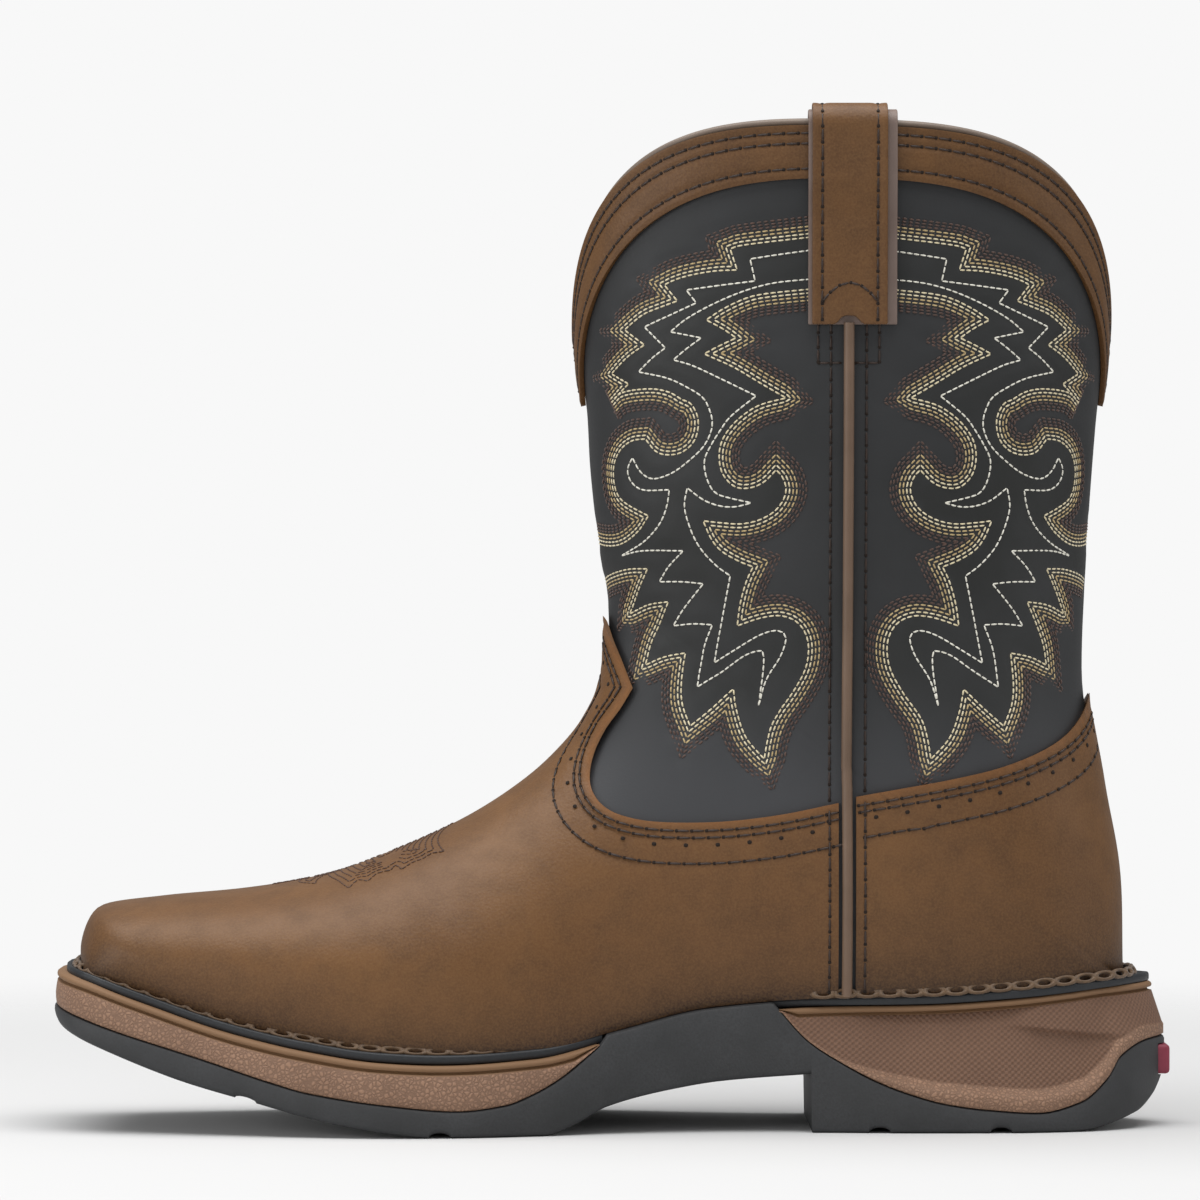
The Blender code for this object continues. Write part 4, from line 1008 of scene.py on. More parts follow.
# Burnish and painted shade: darker by the feather edge and the welt, and painted darker over the collar and
# the straps.
darkening = add_node(tree, "Math", {"operation": "MULTIPLY"}, {0: rubbed_and_shaded, 1: 0.92}).outputs[0]
toned = add_node(
    tree, "Mix", {"data_type": "RGBA"}, {0: darkening, 6: mottled, 7: linear("#26170e")}
).outputs[2]
raw = add_node(tree, "Attribute", {"attribute_name": "cut_edge"}).outputs["Fac"]
raw_share = add_node(tree, "Math", {"operation": "MULTIPLY"}, {0: raw, 1: 0.65}).outputs[0]
edged = add_node(
    tree, "Mix", {"data_type": "RGBA"}, {0: raw_share, 6: toned, 7: linear("#875830")}
).outputs[2]
fleck = add_node(
    tree, "MapRange", None, {"Value": pore, "From Min": 0.35, "From Max": 0.7, "To Min": 0.0, "To Max": 0.28}
).outputs[0]
flecked = add_node(
    tree, "Mix", {"data_type": "RGBA"}, {0: fleck, 6: edged, 7: linear("#82603a")}
).outputs[2]
gloss = add_node(tree, "MapRange", None, {"Value": mottle, "To Min": 0.4, "To Max": 0.58}).outputs[0]
skin = add_node(tree, "Math", {"operation": "MULTIPLY_ADD"}, {0: pore, 1: 0.5, 2: pebble}).outputs[0]
relief = add_node(tree, "Bump", None, {"Height": skin, "Strength": 0.22, "Distance": 0.25 * MM}).outputs[0]
shader = add_node(
    tree,
    "BsdfPrincipled",
    None,
    {"Base Color": flecked, "Roughness": gloss, "IOR": 1.45, "Specular IOR Level": 0.38, "Normal": relief},
).outputs[0]
add_node(tree, "OutputMaterial", None, {"Surface": shader})
overlay_thread = thread_material("waxed_dark_brown_thread", "#38251a", "#20140d", 0.0)

vamp_edge, vamp_side = side_line(VAMP_EDGE)
vamp_rows, vamp_holes = edge_rows(vamp_edge)
vamp_form = overlay_form([vamp_edge], vamp_rows, 0, ROW["heel_curve"])
vamp = drape("vamp_leather", VAMP_COLUMNS, VAMP_LEVELS, vamp_form)
weld(vamp, outwards=False)
apply(vamp, "SOLIDIFY", thickness=OVERLAY_THICK * MM, offset=-1.0)
foot = [(x, feather_z(x)) for x in np.linspace(SIDE_SEAM_X - SEAM_SLOT, -BEYOND_X, 60)]
cut_out(vamp, [(-BEYOND_X, vamp_side[0, 1]), *vamp_side, *foot])
smooth_faces(vamp)
mark_edges(vamp, vamp_edge, VAMP_BURNISH_AND_SHADE)
put_on_boot(vamp, brown_leather, "brown_leather", "vamp")
sew_overlay("vamp_stitching", both_sides(vamp_rows, OVERLAY_TOP - STITCH_DEPTH), OVERLAY_PITCH)
punch("vamp_holes", vamp_holes, OVERLAY_TOP)

# The toe stitching, in pixels of the picture: the scalloped edge of the pattern that crosses the ridge of
# the vamp, which is sewn again and again inside itself
TOE_STITCHING = [
    [(240, 891), (262, 889), (283, 886), (300, 889), (321, 890)],
    [(325, 881), (339, 886), (351, 894)],
    [(360, 886), (370, 887)],
    [(380, 879), (393, 876)],
    [(398, 871), (404, 875)],
    [(415, 868), (424, 865)],
    [(434, 859), (446, 857)],
    [(441, 846), (441, 829)],
]
TOE_ROWS, TOE_ROW_GAP, TOE_PITCH, TOE_THREAD = 9, 1.9, 1.9, 0.5
RIDGE_CLEAR = 0.4  # a row stops this near the ridge, where it meets its mirror image
# The vamp laid flat: distance along the ridge, and out from it across the leather
RIDGE_LEVELS, RIDGE_TURNS = 260, 200
ridge_rows = np.linspace(ROW["toe_brow"], ROW["shank"], RIDGE_LEVELS)
ridge_turns = np.linspace(0, 0.5, RIDGE_TURNS)
vamp_sheet = upper_point(ridge_turns[None, :], ridge_rows[:, None])
ridge_along = np.concatenate([[0], np.cumsum(np.linalg.norm(np.diff(vamp_sheet[:, 0], axis=0), axis=1))])
ridge_out = np.cumsum(np.linalg.norm(np.diff(vamp_sheet, axis=1, prepend=vamp_sheet[:, :1]), axis=2), axis=1)
toe_turn, toe_row = spot_on_upper(*charted(TOE_STITCHING).T)
toe_level = np.rint(np.interp(toe_row, ridge_rows, np.arange(RIDGE_LEVELS))).astype(int)
toe_out = np.array(
    [np.interp(turn, ridge_turns, ridge_out[level]) for turn, level in zip(toe_turn, toe_level)]
)
toe_edge = np.stack([np.interp(toe_row, ridge_rows, ridge_along), toe_out], axis=-1)
toe_lines = []
for step in range(TOE_ROWS):
    line = parallel_row(toe_edge, -step * TOE_ROW_GAP) if step else toe_edge
    apart = np.linalg.norm(np.diff(line, axis=0), axis=1) > 2.5 * TOE_ROW_GAP
    for run in np.split(line, np.nonzero(apart)[0] + 1):
        run = run[run[:, 1] > RIDGE_CLEAR]
        if len(run) < 3:
            continue
        row = np.interp(run[:, 0], ridge_along, ridge_rows)
        level = np.rint(np.interp(row, ridge_rows, np.arange(RIDGE_LEVELS))).astype(int)
        turn = np.array([np.interp(out, ridge_out[i], ridge_turns) for out, i in zip(run[:, 1], level)])
        for side in (-1, 1):
            normals = upper_normal(side * turn, row)
            toe_lines.append((upper_point(side * turn, row) + normals * OVERLAY_TOP, normals))
toe_thread = thread_material("brown_toe_thread", "#57392a", "#36231a", 0.0)
sew("toe_stitching", toe_lines, toe_thread, TOE_PITCH, TOE_THREAD)


# Counter
# The brown leather round the heel, lasted with the vamp and sewn to the shaft the same way. It leaves a
# slot at each side seam, where the piping runs down to the welt.

COUNTER_EDGE = [
    [(SIDE_SEAM_X + SEAM_SLOT, 92.7), (79.3, 94.9), (93.1, 97.4), (107.0, 100.6), (118.5, 104.9)]
    + [(126.0, 109.4), (131.0, 114.9), (134.3, 121.7)],
]
# On the counter the burnish and painted shade reach further up, with painted shade under the rand's chain of
# loops.
COUNTER_BURNISH_AND_SHADE = 17.0
COUNTER_COLUMNS, COUNTER_LEVELS = 190, 90
COUNTER_SPAN = (9.5, 18.6)  # rows of the upper that it covers
# The turn of the heel is hammered smooth: where it begins along x, begins and ends in height, and how often
HEEL_TURN_X, HEEL_TURN_Z, HEEL_TURN_PASSES = (108.0, 122.0), (42.0, 45.5, 60.0, 84.0), 45
counter_edge, counter_side = side_line(COUNTER_EDGE)
counter_rows, counter_holes = edge_rows(counter_edge)
counter_form = overlay_form([counter_edge], counter_rows, *COUNTER_SPAN)
counter = drape("counter_leather", COUNTER_COLUMNS, COUNTER_LEVELS, counter_form)
weld(counter, outwards=False)
hollow = counter.vertex_groups.new(name="turn_of_the_heel")
for vertex in counter.data.vertices:
    x, _, z = vertex.co / MM
    share = soft_step(x, *HEEL_TURN_X) * soft_step(z, *HEEL_TURN_Z[:2]) * (1 - soft_step(z, *HEEL_TURN_Z[2:]))
    hollow.add([vertex.index], float(share), "REPLACE")
apply(counter, "SMOOTH", factor=0.5, iterations=HEEL_TURN_PASSES, vertex_group="turn_of_the_heel")
apply(counter, "SOLIDIFY", thickness=OVERLAY_THICK * MM, offset=-1.0)
foot = [(x, feather_z(x)) for x in np.linspace(BEYOND_X, SIDE_SEAM_X + SEAM_SLOT, 30)]
cut_out(counter, [*counter_side, (BEYOND_X, counter_side[-1, 1]), *foot])
smooth_faces(counter)
mark_edges(counter, counter_edge, COUNTER_BURNISH_AND_SHADE)
put_on_boot(counter, brown_leather, "brown_leather", "counter")
sew_overlay("counter_stitching", both_sides(counter_rows, OVERLAY_TOP - STITCH_DEPTH), OVERLAY_PITCH)
punch("counter_holes", counter_holes, OVERLAY_TOP)


# Collar
# Two bands of the same brown leather round the top of the shaft, meeting at the side seams under the pull
# straps, each sewn with a close pair of rows near the top and one row near its foot.

COLLAR_FOOT = {"dip": 201.5, "peak": 262.4, "power": 2.7, "tilt": 0.8}
COLLAR_SEAM = 0.496  # the bands stop just short of the side seam, which is at half a turn
COLLAR_ROWS = (0.15, 0.345, 0.815)  # stitch rows as shares of the band, down from the topline
COLLAR_BAND, COLLAR_SINK = 17.0, 0.34  # the band's height, and how far its stitches draw it in
COLLAR_SINK_REACH, COLLAR_RIM, COLLAR_RIM_REACH = 1.3, 0.4, 1.2  # the rim is its foot, pared thin
COLLAR_COLUMNS, COLLAR_LEVELS = 150, 34
COLLAR_PITCH = 4.0
COLLAR_SHADE = 0.2  # painted shade: how much darker the collar and the straps are painted, as they stand in dimmer light


def band_spot(around, share):
    """(around, row) on a collar band, for a share of its height down from the topline."""
    low, top = scallop(COLLAR_FOOT, around), scallop(TOPLINE, around)
    return around, row_at_height(np.abs(around), top + (low - top) * share, "ankle_low")


def make_band(name, first, last, node):
    """A band of the collar between two places round the shaft. Returns the lines of its stitches."""
    span = last - first

    def form(across, along):
        around = last - span * across
        around, row = band_spot(around, 1 - along)
        down = 1 - along
        sink = sum(
            np.exp(-(((down - share) * COLLAR_BAND / COLLAR_SINK_REACH) ** 2)) for share in COLLAR_ROWS
        )
        rim = np.exp(-((along * COLLAR_BAND / COLLAR_RIM_REACH) ** 2)) * COLLAR_RIM
        height = OVERLAY_TOP - COLLAR_SINK * sink - rim
        return upper_point(around, row) + upper_normal(around, row) * height[:, None]

    band = drape(name, COLLAR_COLUMNS, COLLAR_LEVELS, form)
    apply(band, "SOLIDIFY", thickness=OVERLAY_THICK * MM, offset=-1.0)
    apply(band, "BEVEL", width=CUT_BEVEL * MM, segments=2, limit_method="ANGLE", angle_limit=CUT_CORNER)
    smooth_faces(band)
    # Painted shade: the whole band is painted a little darker.
    paint(band, "burnish_and_shade", np.full(len(band.data.vertices), COLLAR_SHADE))
    put_on_boot(band, brown_leather, "brown_leather", node)
    lines = []
    for share in COLLAR_ROWS:
        around = np.linspace(first, last, 500)
        around, row = band_spot(around, share)
        normals = upper_normal(around, row)
        lines.append((upper_point(around, row) + normals * (OVERLAY_TOP - COLLAR_SINK), normals))
    return lines


collar_lines = make_band("collar_front", -COLLAR_SEAM, COLLAR_SEAM, "collar_band_front")
collar_lines += make_band("collar_back", 1 - COLLAR_SEAM, 1 + COLLAR_SEAM, "collar_band_back")
sew_overlay("collar_stitching", collar_lines, COLLAR_PITCH)


# Topline bead
# A thin strip of taupe leather folded over a cord and caught between shaft and lining, which finishes the
# edge of the collar all the way round.

BEAD_RADIUS, WALL, GAP = 1.1, 2.4, 0.3
BEAD_OUT, BEAD_RISE = 0.3, 0.75  # out from the wall's middle, and up from its edge in shares of the radius
PIPING_RADIUS = 1.5


def tube(name, points, radius, closed=False):
    """A round cord along points in mm, as a mesh."""
    curve = bpy.data.curves.new(name, "CURVE")
    curve.dimensions = "3D"
    curve.bevel_depth = radius * MM
    curve.bevel_resolution = 3
    curve.use_fill_caps = not closed
    spline = curve.splines.new("POLY")
    spline.points.add(len(points) - 1)
    spline.use_cyclic_u = closed
    spline.points.foreach_set("co", np.concatenate([points * MM, np.ones((len(points), 1))], axis=1).ravel())
    piece = bpy.data.objects.new(name, curve)
    bpy.context.scene.collection.objects.link(piece)
    only(piece)
    bpy.ops.object.convert(target="MESH")
    piece = bpy.context.object
    weld(piece)
    smooth_faces(piece, 60)
    return piece


around = np.linspace(-1, 1, 320, endpoint=False)
row = row_at_height(np.abs(around), scallop(TOPLINE, around), "ankle_low")
tops, normals = upper_point(around, row), upper_normal(around, row)
edges = np.roll(tops, -1, axis=0) - np.roll(tops, 1, axis=0)
ups = np.cross(normals, edges / np.linalg.norm(edges, axis=1, keepdims=True))
ups *= np.sign(ups[:, 2:3])
bead_line = tops - normals * (WALL / 2 - BEAD_OUT) + ups * BEAD_RADIUS * BEAD_RISE
bead = tube("topline_piping", bead_line, BEAD_RADIUS, True)

# Kid leather: thin, taupe to mauve brown, with fine wrinkles and a low shine.
KID_GRAIN = 0.8


def kid_material(name, light, dark):
    material, tree = new_material(name)
    place = add_node(tree, "TexCoord").outputs["Object"]
    wrinkle = add_node(
        tree, "TexNoise", None, {"Vector": place, "Scale": 1 / (KID_GRAIN * MM), "Detail": 3.0}
    ).outputs[0]
    cloud = add_node(
        tree, "TexNoise", None, {"Vector": place, "Scale": 1 / (12 * MM), "Detail": 2.0}
    ).outputs[0]
    tone = add_node(
        tree, "Mix", {"data_type": "RGBA"}, {0: cloud, 6: linear(dark), 7: linear(light)}
    ).outputs[2]
    relief = add_node(
        tree, "Bump", None, {"Height": wrinkle, "Strength": 0.25, "Distance": 0.15 * MM}
    ).outputs[0]
    shader = add_node(
        tree,
        "BsdfPrincipled",
        None,
        {"Base Color": tone, "Roughness": 0.5, "IOR": 1.48, "Normal": relief},
    ).outputs[0]
    add_node(tree, "OutputMaterial", None, {"Surface": shader})
    return material


put_on_boot(bead, kid_material("taupe_kid", "#86776b", "#615348"), "mauve_leather", "topline_bead")


# Side piping
# A cord covered in brown kid leather runs down each side seam, in the slot between vamp and counter, with
# a row of stitching on either side of it that closes the seam.

STRAP_FOOT_Z = 222.4
SEAM_ROW = 4.9  # the rows of stitching to either side
SEAM_PITCH = 4.3
PIPING_FOOT, PIPING_TUCK, PIPING_OFF = 1.2, 0.8, 0.1  # above the welt, under the strap and off the wall
ROW_TUCK, ROW_FOOT = 2.0, 2.0  # rows of stitching run under the strap, and begin above the welt
ABOVE_EDGE, BELOW_EDGE = 1.0, 0.8  # and leave the overlay's edge free
BOX_HALF, BOX_FOOT_Z = 8.4, 212.0  # a box of stitching below the strap that takes its pull
brown_kid = kid_material("brown_kid", "#7a6250", "#574434")


def upright_line(x, low_z, high_z):
    """(turn, row) along the leather straight up at x, seen from the side."""
    heights = np.arange(low_z, high_z, 0.8)
    turns = np.linspace(0.2, 1.0, 400)
    rows = row_at_height(turns[None, :], heights[:, None], "waist")
    across = upper_point(turns[None, :], rows)[..., 0]
    found = np.array([np.interp(x, across[i], turns) for i in range(len(heights))])
    return found, row_at_height(found, heights, "waist")


def seam_row(x, low_z, high_z, side, lift):
    """Points and normals of a row of stitching straight up at x."""
    turn, row = upright_line(x, low_z, high_z)
    normals = upper_normal(side * turn, row)
    return upper_point(side * turn, row) + normals * lift, normals


for label, side in (("inner", -1), ("outer", 1)):
    foot_z, lift = float(feather_z(SIDE_SEAM_X)) + PIPING_FOOT, GAP + PIPING_RADIUS + PIPING_OFF
    middle, _ = seam_row(SIDE_SEAM_X, foot_z, STRAP_FOOT_Z + PIPING_TUCK, side, lift)
    piping = tube("side_piping_" + label + "_cord", middle, PIPING_RADIUS)
    put_on_boot(piping, brown_kid, "mauve_leather", "side_piping_" + label)

seam_lines = []
for x, edge in ((SIDE_SEAM_X - SEAM_ROW, vamp_side), (SIDE_SEAM_X + SEAM_ROW, counter_side)):
    order = np.argsort(edge[:, 0])
    edge_z = float(np.interp(x, edge[order, 0], edge[order, 1]))
    for side in (-1, 1):
        seam_lines.append(seam_row(x, edge_z + ABOVE_EDGE, STRAP_FOOT_Z + ROW_TUCK, side, 0.0))
        foot_z = float(feather_z(x)) + ROW_FOOT
        seam_lines.append(seam_row(x, foot_z, edge_z - BELOW_EDGE, side, OVERLAY_TOP))
for side in (-1, 1):
    for x in (SIDE_SEAM_X - BOX_HALF, SIDE_SEAM_X + BOX_HALF):
        seam_lines.append(seam_row(x, BOX_FOOT_Z, STRAP_FOOT_Z + ROW_TUCK, side, 0.0))
    for start, end in ((BOX_HALF, PIPING_RADIUS), (-PIPING_RADIUS, -BOX_HALF)):
        across = np.linspace(start, end, 16)
        seam_lines.append(on_side(np.column_stack([across, np.full_like(across, BOX_FOOT_Z)]), side, 0.0))
sew_overlay("seam_stitching", seam_lines, SEAM_PITCH)


# Pull straps
# At each side seam a doubled strap, brown leather on a wider strip of mauve kid, folds over the topline and
# is sewn down inside and outside the shaft. A row of stitches runs along each edge, one across the foot.

STRAP_X = 65.2
STRAP_INSIDE_Z, STRAP_TOP_Z, STRAP_PLAY = 238.0, 280.4, 1.7
STRAP_STEP = ((STRAP_FOOT_Z, 0.0), (240.0, 0.06), (252.0, 0.3), (262.0, 0.95), (TOPLINE["peak"], 1.0))
# Each ply's lift, thickness, width and shift
STRAP_PLIES = (("backing", 0.0, 1.0, 24.4, 0.6), ("strap", 1.3, 1.5, 20.6, -0.2))
NOTCH_WIDTH, NOTCH_HEIGHT, NOTCH_FADE = 3.0, 2.4, 12.0  # for the piping at the strap's foot
STRAP_SINK, STRAP_SINK_SPREAD, ARCH_SINK = 0.3, 0.9, 0.1
STRAP_COLUMNS, STRAP_LEVELS = 26, 150
STRAP_ROWS = 2.7  # stitching in from each edge
STRAP_PITCH = 4.4
ARCH_LOW, ARCH_HIGH, ARCH_PITCH = 6.2, 11.4, 3.0  # the arched row's heights above the strap's foot
mauve_kid = kid_material("mauve_kid", "#84736b", "#625047")


def strap_path(side):
    """(y, z, outward y, outward z) along a strap's inner face, from its foot over the fold to its end."""
    band = OVERLAY_TOP + 2 * GAP

    def half_width(z):
        turn, row = spot_on_upper(forward_of_seam([STRAP_X], [z]), np.array([z]))
        return abs(float(upper_point(side * turn, row)[0, 1]))

    path = []
    for z, share in STRAP_STEP:
        path.append((side * (half_width(z) + 2 * GAP + (band - 2 * GAP) * share), z, side, 0.0))
    outside, inside_y = abs(path[-1][0]), half_width(TOPLINE["peak"]) - WALL - STRAP_PLAY
    middle, radius = (outside + inside_y) / 2, (outside - inside_y) / 2
    for turn in np.linspace(0, np.pi, 19)[1:-1]:
        out, up = math.cos(turn), math.sin(turn)
        path.append((side * (middle + radius * out), STRAP_TOP_Z - radius + radius * up, side * out, up))
    for z in (STRAP_TOP_Z - radius, STRAP_INSIDE_Z):
        inner = half_width(min(z, TOPLINE["peak"])) - WALL - STRAP_PLAY
        path.append((side * inner, z, -side, 0.0))
    return np.array(path)


strap_lines, arch_lines = [], []
for label, side in (("inner", -1), ("outer", 1)):
    path = strap_path(side)
    length = np.concatenate([[0], np.cumsum(np.linalg.norm(np.diff(path[:, :2], axis=0), axis=1))])
    for ply, lift, thick, width, shift in STRAP_PLIES:

        def strap_at(across, travelled, height):
            y, z, out_y, out_z = (np.interp(travelled, length, path[:, c]) for c in range(4))
            size = np.hypot(out_y, out_z)
            x = STRAP_X + shift + (across - 0.5) * width
            return np.stack([x, y + out_y / size * height, z + out_z / size * height], axis=-1)

        def strap_form(across, along):
            x_off = STRAP_X + shift + (across - 0.5) * width - SIDE_SEAM_X
            notch = NOTCH_HEIGHT * np.exp(-((x_off / NOTCH_WIDTH) ** 4)) if ply == "strap" else 0.0
            travelled = along * length[-1] + notch * np.clip(1 - along * length[-1] / NOTCH_FADE, 0, 1)
            edge = np.minimum(across, 1 - across) * width
            sink = STRAP_SINK * np.exp(-((edge - STRAP_ROWS) ** 2) / STRAP_SINK_SPREAD)
            top = thick - (sink if ply == "strap" else 0.0)
            return strap_at(across if side < 0 else 1 - across, travelled, lift + top)

        strap = drape(f"pull_{ply}_{label}_leather", STRAP_COLUMNS, STRAP_LEVELS, strap_form)
        apply(strap, "SOLIDIFY", thickness=thick * MM, offset=-1.0)
        apply(strap, "BEVEL", width=CUT_BEVEL * MM, segments=2, limit_method="ANGLE", angle_limit=CUT_CORNER)
        smooth_faces(strap)
        # Painted shade: the whole strap is painted a little darker.
        paint(strap, "burnish_and_shade", np.full(len(strap.data.vertices), COLLAR_SHADE))
        leather, slot = (brown_leather, "brown_leather") if ply == "strap" else (mauve_kid, "mauve_leather")
        put_on_boot(strap, leather, slot, f"pull_{ply}_{label}")
    edge_row = STRAP_ROWS / width
    travel = np.linspace(1.0, length[-1] - 1.0, 500)
    rows = [(strap_lines, np.full(500, across), travel) for across in (edge_row, 1 - edge_row)]
    arch = np.linspace(edge_row, 1 - edge_row, 60)
    from_middle = (arch - 0.5) / (0.5 - edge_row)
    rows.append((arch_lines, arch, ARCH_HIGH - (ARCH_HIGH - ARCH_LOW) * from_middle**2))
    for lines, across, travelled in rows:
        sink = STRAP_SINK if lines is strap_lines else ARCH_SINK
        points = strap_at(across, travelled, lift + thick - sink)
        lines.append((points, strap_at(across, travelled, 1.0) - strap_at(across, travelled, 0.0)))
sew_overlay("strap_stitching", strap_lines, STRAP_PITCH)
sew_overlay("strap_arch_stitching", arch_lines, ARCH_PITCH)


# Midsole
# A layer of brown foam rubber under the forefoot, moulded with a pebbled side, a groove and above it a
# smooth rolled lip that carries the welt. The outline and heights that all layers share are set here.

SOLE_PLAN = [  # x, then half widths to the inner and the outer side
    (-156.0, 6.0, 6.0), (-155.3, 15.0, 15.0), (-153.4, 24.5, 24.5), (-149.0, 32.0, 32.0),
    (-141.0, 37.0, 37.0), (-125.0, 41.2, 41.2), (-105.0, 46.0, 45.8), (-85.0, 51.0, 50.2),
    (-62.0, 54.0, 53.0), (-40.0, 52.0, 54.0),
    (-20.0, 45.8, 52.2), (0.0, 38.8, 47.6), (20.0, 34.4, 42.4), (40.0, 33.0, 38.2), (60.0, 34.0, 36.6),
    (85.0, 35.8, 36.2), (110.0, 35.2, 35.2), (130.0, 30.2, 30.2), (143.0, 21.6, 21.6), (150.5, 12.4, 12.4),
    (154.0, 6.0, 6.0), (154.9, 3.0, 3.0),
]
OUTSOLE_RISE = [  # x, z of the outsole's upper edge: under the midsole, up over the arch, down round the heel
    (-156.0, 34.6), (-136.0, 27.8), (-113.4, 21.0), (-93.0, 14.6), (-83.0, 12.0), (-61.0, 8.8), (-42.0, 7.2),
    (-29.0, 8.6), (-21.5, 11.4), (-14.0, 15.6), (-7.0, 21.2), (-2.6, 25.4), (6.0, 41.0), (40.0, 41.0),
    (45.2, 34.9), (54.0, 25.3), (62.8, 19.5), (72.5, 14.3), (81.0, 11.0), (92.0, 7.9), (103.5, 6.3),
    (118.0, 5.4), (129.7, 8.1), (137.5, 14.3), (141.6, 20.5), (148.8, 24.3), (154.9, 25.2),
]
TOE_X, HEEL_X = SOLE_PLAN[0][0], SOLE_PLAN[-1][0]
WELT_THICK, WELT_WIDTH, WELT_INSET = 2.0, 7.8, 3.4
MIDSOLE_END_X = -3.4
LIP_HEIGHT, LIP_GROOVE, LIP_REACH = 1.7, 0.8, 0.9
MIDSOLE_PROFILE = ((0.35, 0.25), (0.3, 0.5), (0.5, 0.75), (0.75, 0.95))  # inset, share of the side's height
LAYER_GAP = 0.1  # between the outsole and what lies on it
LIP_SHARE = 0.6  # of a thin layer's height that its lip and groove may take
SOLE_STEP = 0.7  # between cross sections, along the edge
plan_x, plan_inner, plan_outer = np.array(SOLE_PLAN).T
SOLE_HALF = {-1: curve_through(plan_x, plan_inner), 1: curve_through(plan_x, plan_outer)}
outsole_rise_z = curve_through(*np.array(OUTSOLE_RISE).T)


def welt_seat_z(x):
    """Top of the ledge on which the welt lies."""
    return feather_z(x) - GAP - WELT_THICK - GAP / 2


def sole_edge(x, inset, side):
    """Plan point of the sole's edge, moved in by inset along its normal."""
    half = SOLE_HALF[side]
    slope = (half(x + 0.05) - half(x - 0.05)) / 0.1
    length = np.hypot(1, slope)
    return x + inset * slope / length, side * np.maximum(half(x) - inset / length, 0.5)


def sole_stations(start, end, extra=()):
    """x of cross sections at even steps along the sole's edge, and their distance along it."""
    fine = np.linspace(start, end, 6000)
    length = np.concatenate([[0], np.cumsum(np.hypot(np.diff(fine), np.diff(SOLE_HALF[-1](fine))))])
    steps = np.linspace(0, length[-1], int(length[-1] / SOLE_STEP))
    xs = np.unique(np.concatenate([np.interp(steps, length, fine), extra]))
    return xs, np.interp(xs, fine, length)


def loft(name, loops, marks=None):
    """A skin over closed cross sections, with both ends filled, that keeps named numbers at its vertices."""
    sections, count = loops.shape[:2]
    picked = {}

    def form(across, along):
        picked["section"] = np.rint(along * (sections - 1)).astype(int)
        picked["corner"] = np.rint(across * count).astype(int) % count
        return loops[picked["section"], picked["corner"]]

    piece = drape(name, count, sections - 1, form)
    for mark, values in (marks or {}).items():
        paint(piece, mark, values[picked["section"], picked["corner"]])
    weld(piece)
    bpy.ops.object.mode_set(mode="EDIT")
    bpy.ops.mesh.select_all(action="DESELECT")
    bpy.ops.mesh.select_mode(type="EDGE")
    bpy.ops.mesh.select_non_manifold()
    bpy.ops.mesh.fill_holes(sides=0)
    bpy.ops.mesh.select_all(action="SELECT")
    bpy.ops.mesh.normals_make_consistent(inside=False)
    bpy.ops.object.mode_set(mode="OBJECT")
    smooth_faces(piece, 40)
    return piece


def sole_loops(xs, levels):
    """Cross sections of a layer: levels run up its inner side as (inset, height) and down its outer side.
    The first and the last one meet in the middle, so that the profile runs on across toe and heel."""
    sides = {}
    for side in (-1, 1):
        points = []
        for inset, height in levels:
            x, y = sole_edge(xs, inset, side)
            points.append(np.stack([x, y, np.broadcast_to(height, xs.shape)], axis=-1))
        sides[side] = np.stack(points, axis=1)
    loops = np.concatenate([sides[-1], sides[1][:, ::-1]], axis=1)
    return np.concatenate([loops[:1] * (1, 0, 1), loops, loops[-1:] * (1, 0, 1)])


def lip_levels(seat, scale, inset):
    """The groove and the rolled lip under the welt, from the groove's foot up: (inset, height) pairs."""
    foot, roll = LIP_HEIGHT + LIP_GROOVE, LIP_HEIGHT
    profile = [(0.0, foot), (0.9, foot - 0.2), (1.2, foot - 0.5), (0.9, foot - 0.8)]
    profile += [(0.15, roll - 0.1), (-0.2, roll * 0.7), (-0.25, roll * 0.45), (0.0, roll * 0.2), (0.5, 0.0)]
    return [(inset + LIP_REACH + depth, seat - drop * scale) for depth, drop in profile]


xs, _ = sole_stations(TOE_X, MIDSOLE_END_X)
seat, foot = welt_seat_z(xs), outsole_rise_z(xs) + LAYER_GAP
scale = np.minimum(1.0, LIP_SHARE * (seat - foot) / (LIP_HEIGHT + LIP_GROOVE))
side_top = seat - (LIP_HEIGHT + LIP_GROOVE) * scale
ledge = WELT_INSET + WELT_WIDTH
levels = [(1.4, foot), (0.8, foot + 0.15), (0.5, foot + 0.5 * scale)]
levels += [(inset, foot + (side_top - foot) * share) for inset, share in MIDSOLE_PROFILE]
pebbled = len(levels)
levels += lip_levels(seat, scale, 0.1)
levels += [(ledge, seat), (ledge, feather_z(xs) - GAP)]
loops = sole_loops(xs, levels)
up_side = np.array([1.0 if i < pebbled else 0.0 for i in range(len(levels))])
textured = np.broadcast_to(np.concatenate([up_side, up_side[::-1]]), loops.shape[:2])
midsole = loft("midsole_foam", loops, {"pebbled": textured, "honeycomb": 0 * textured})

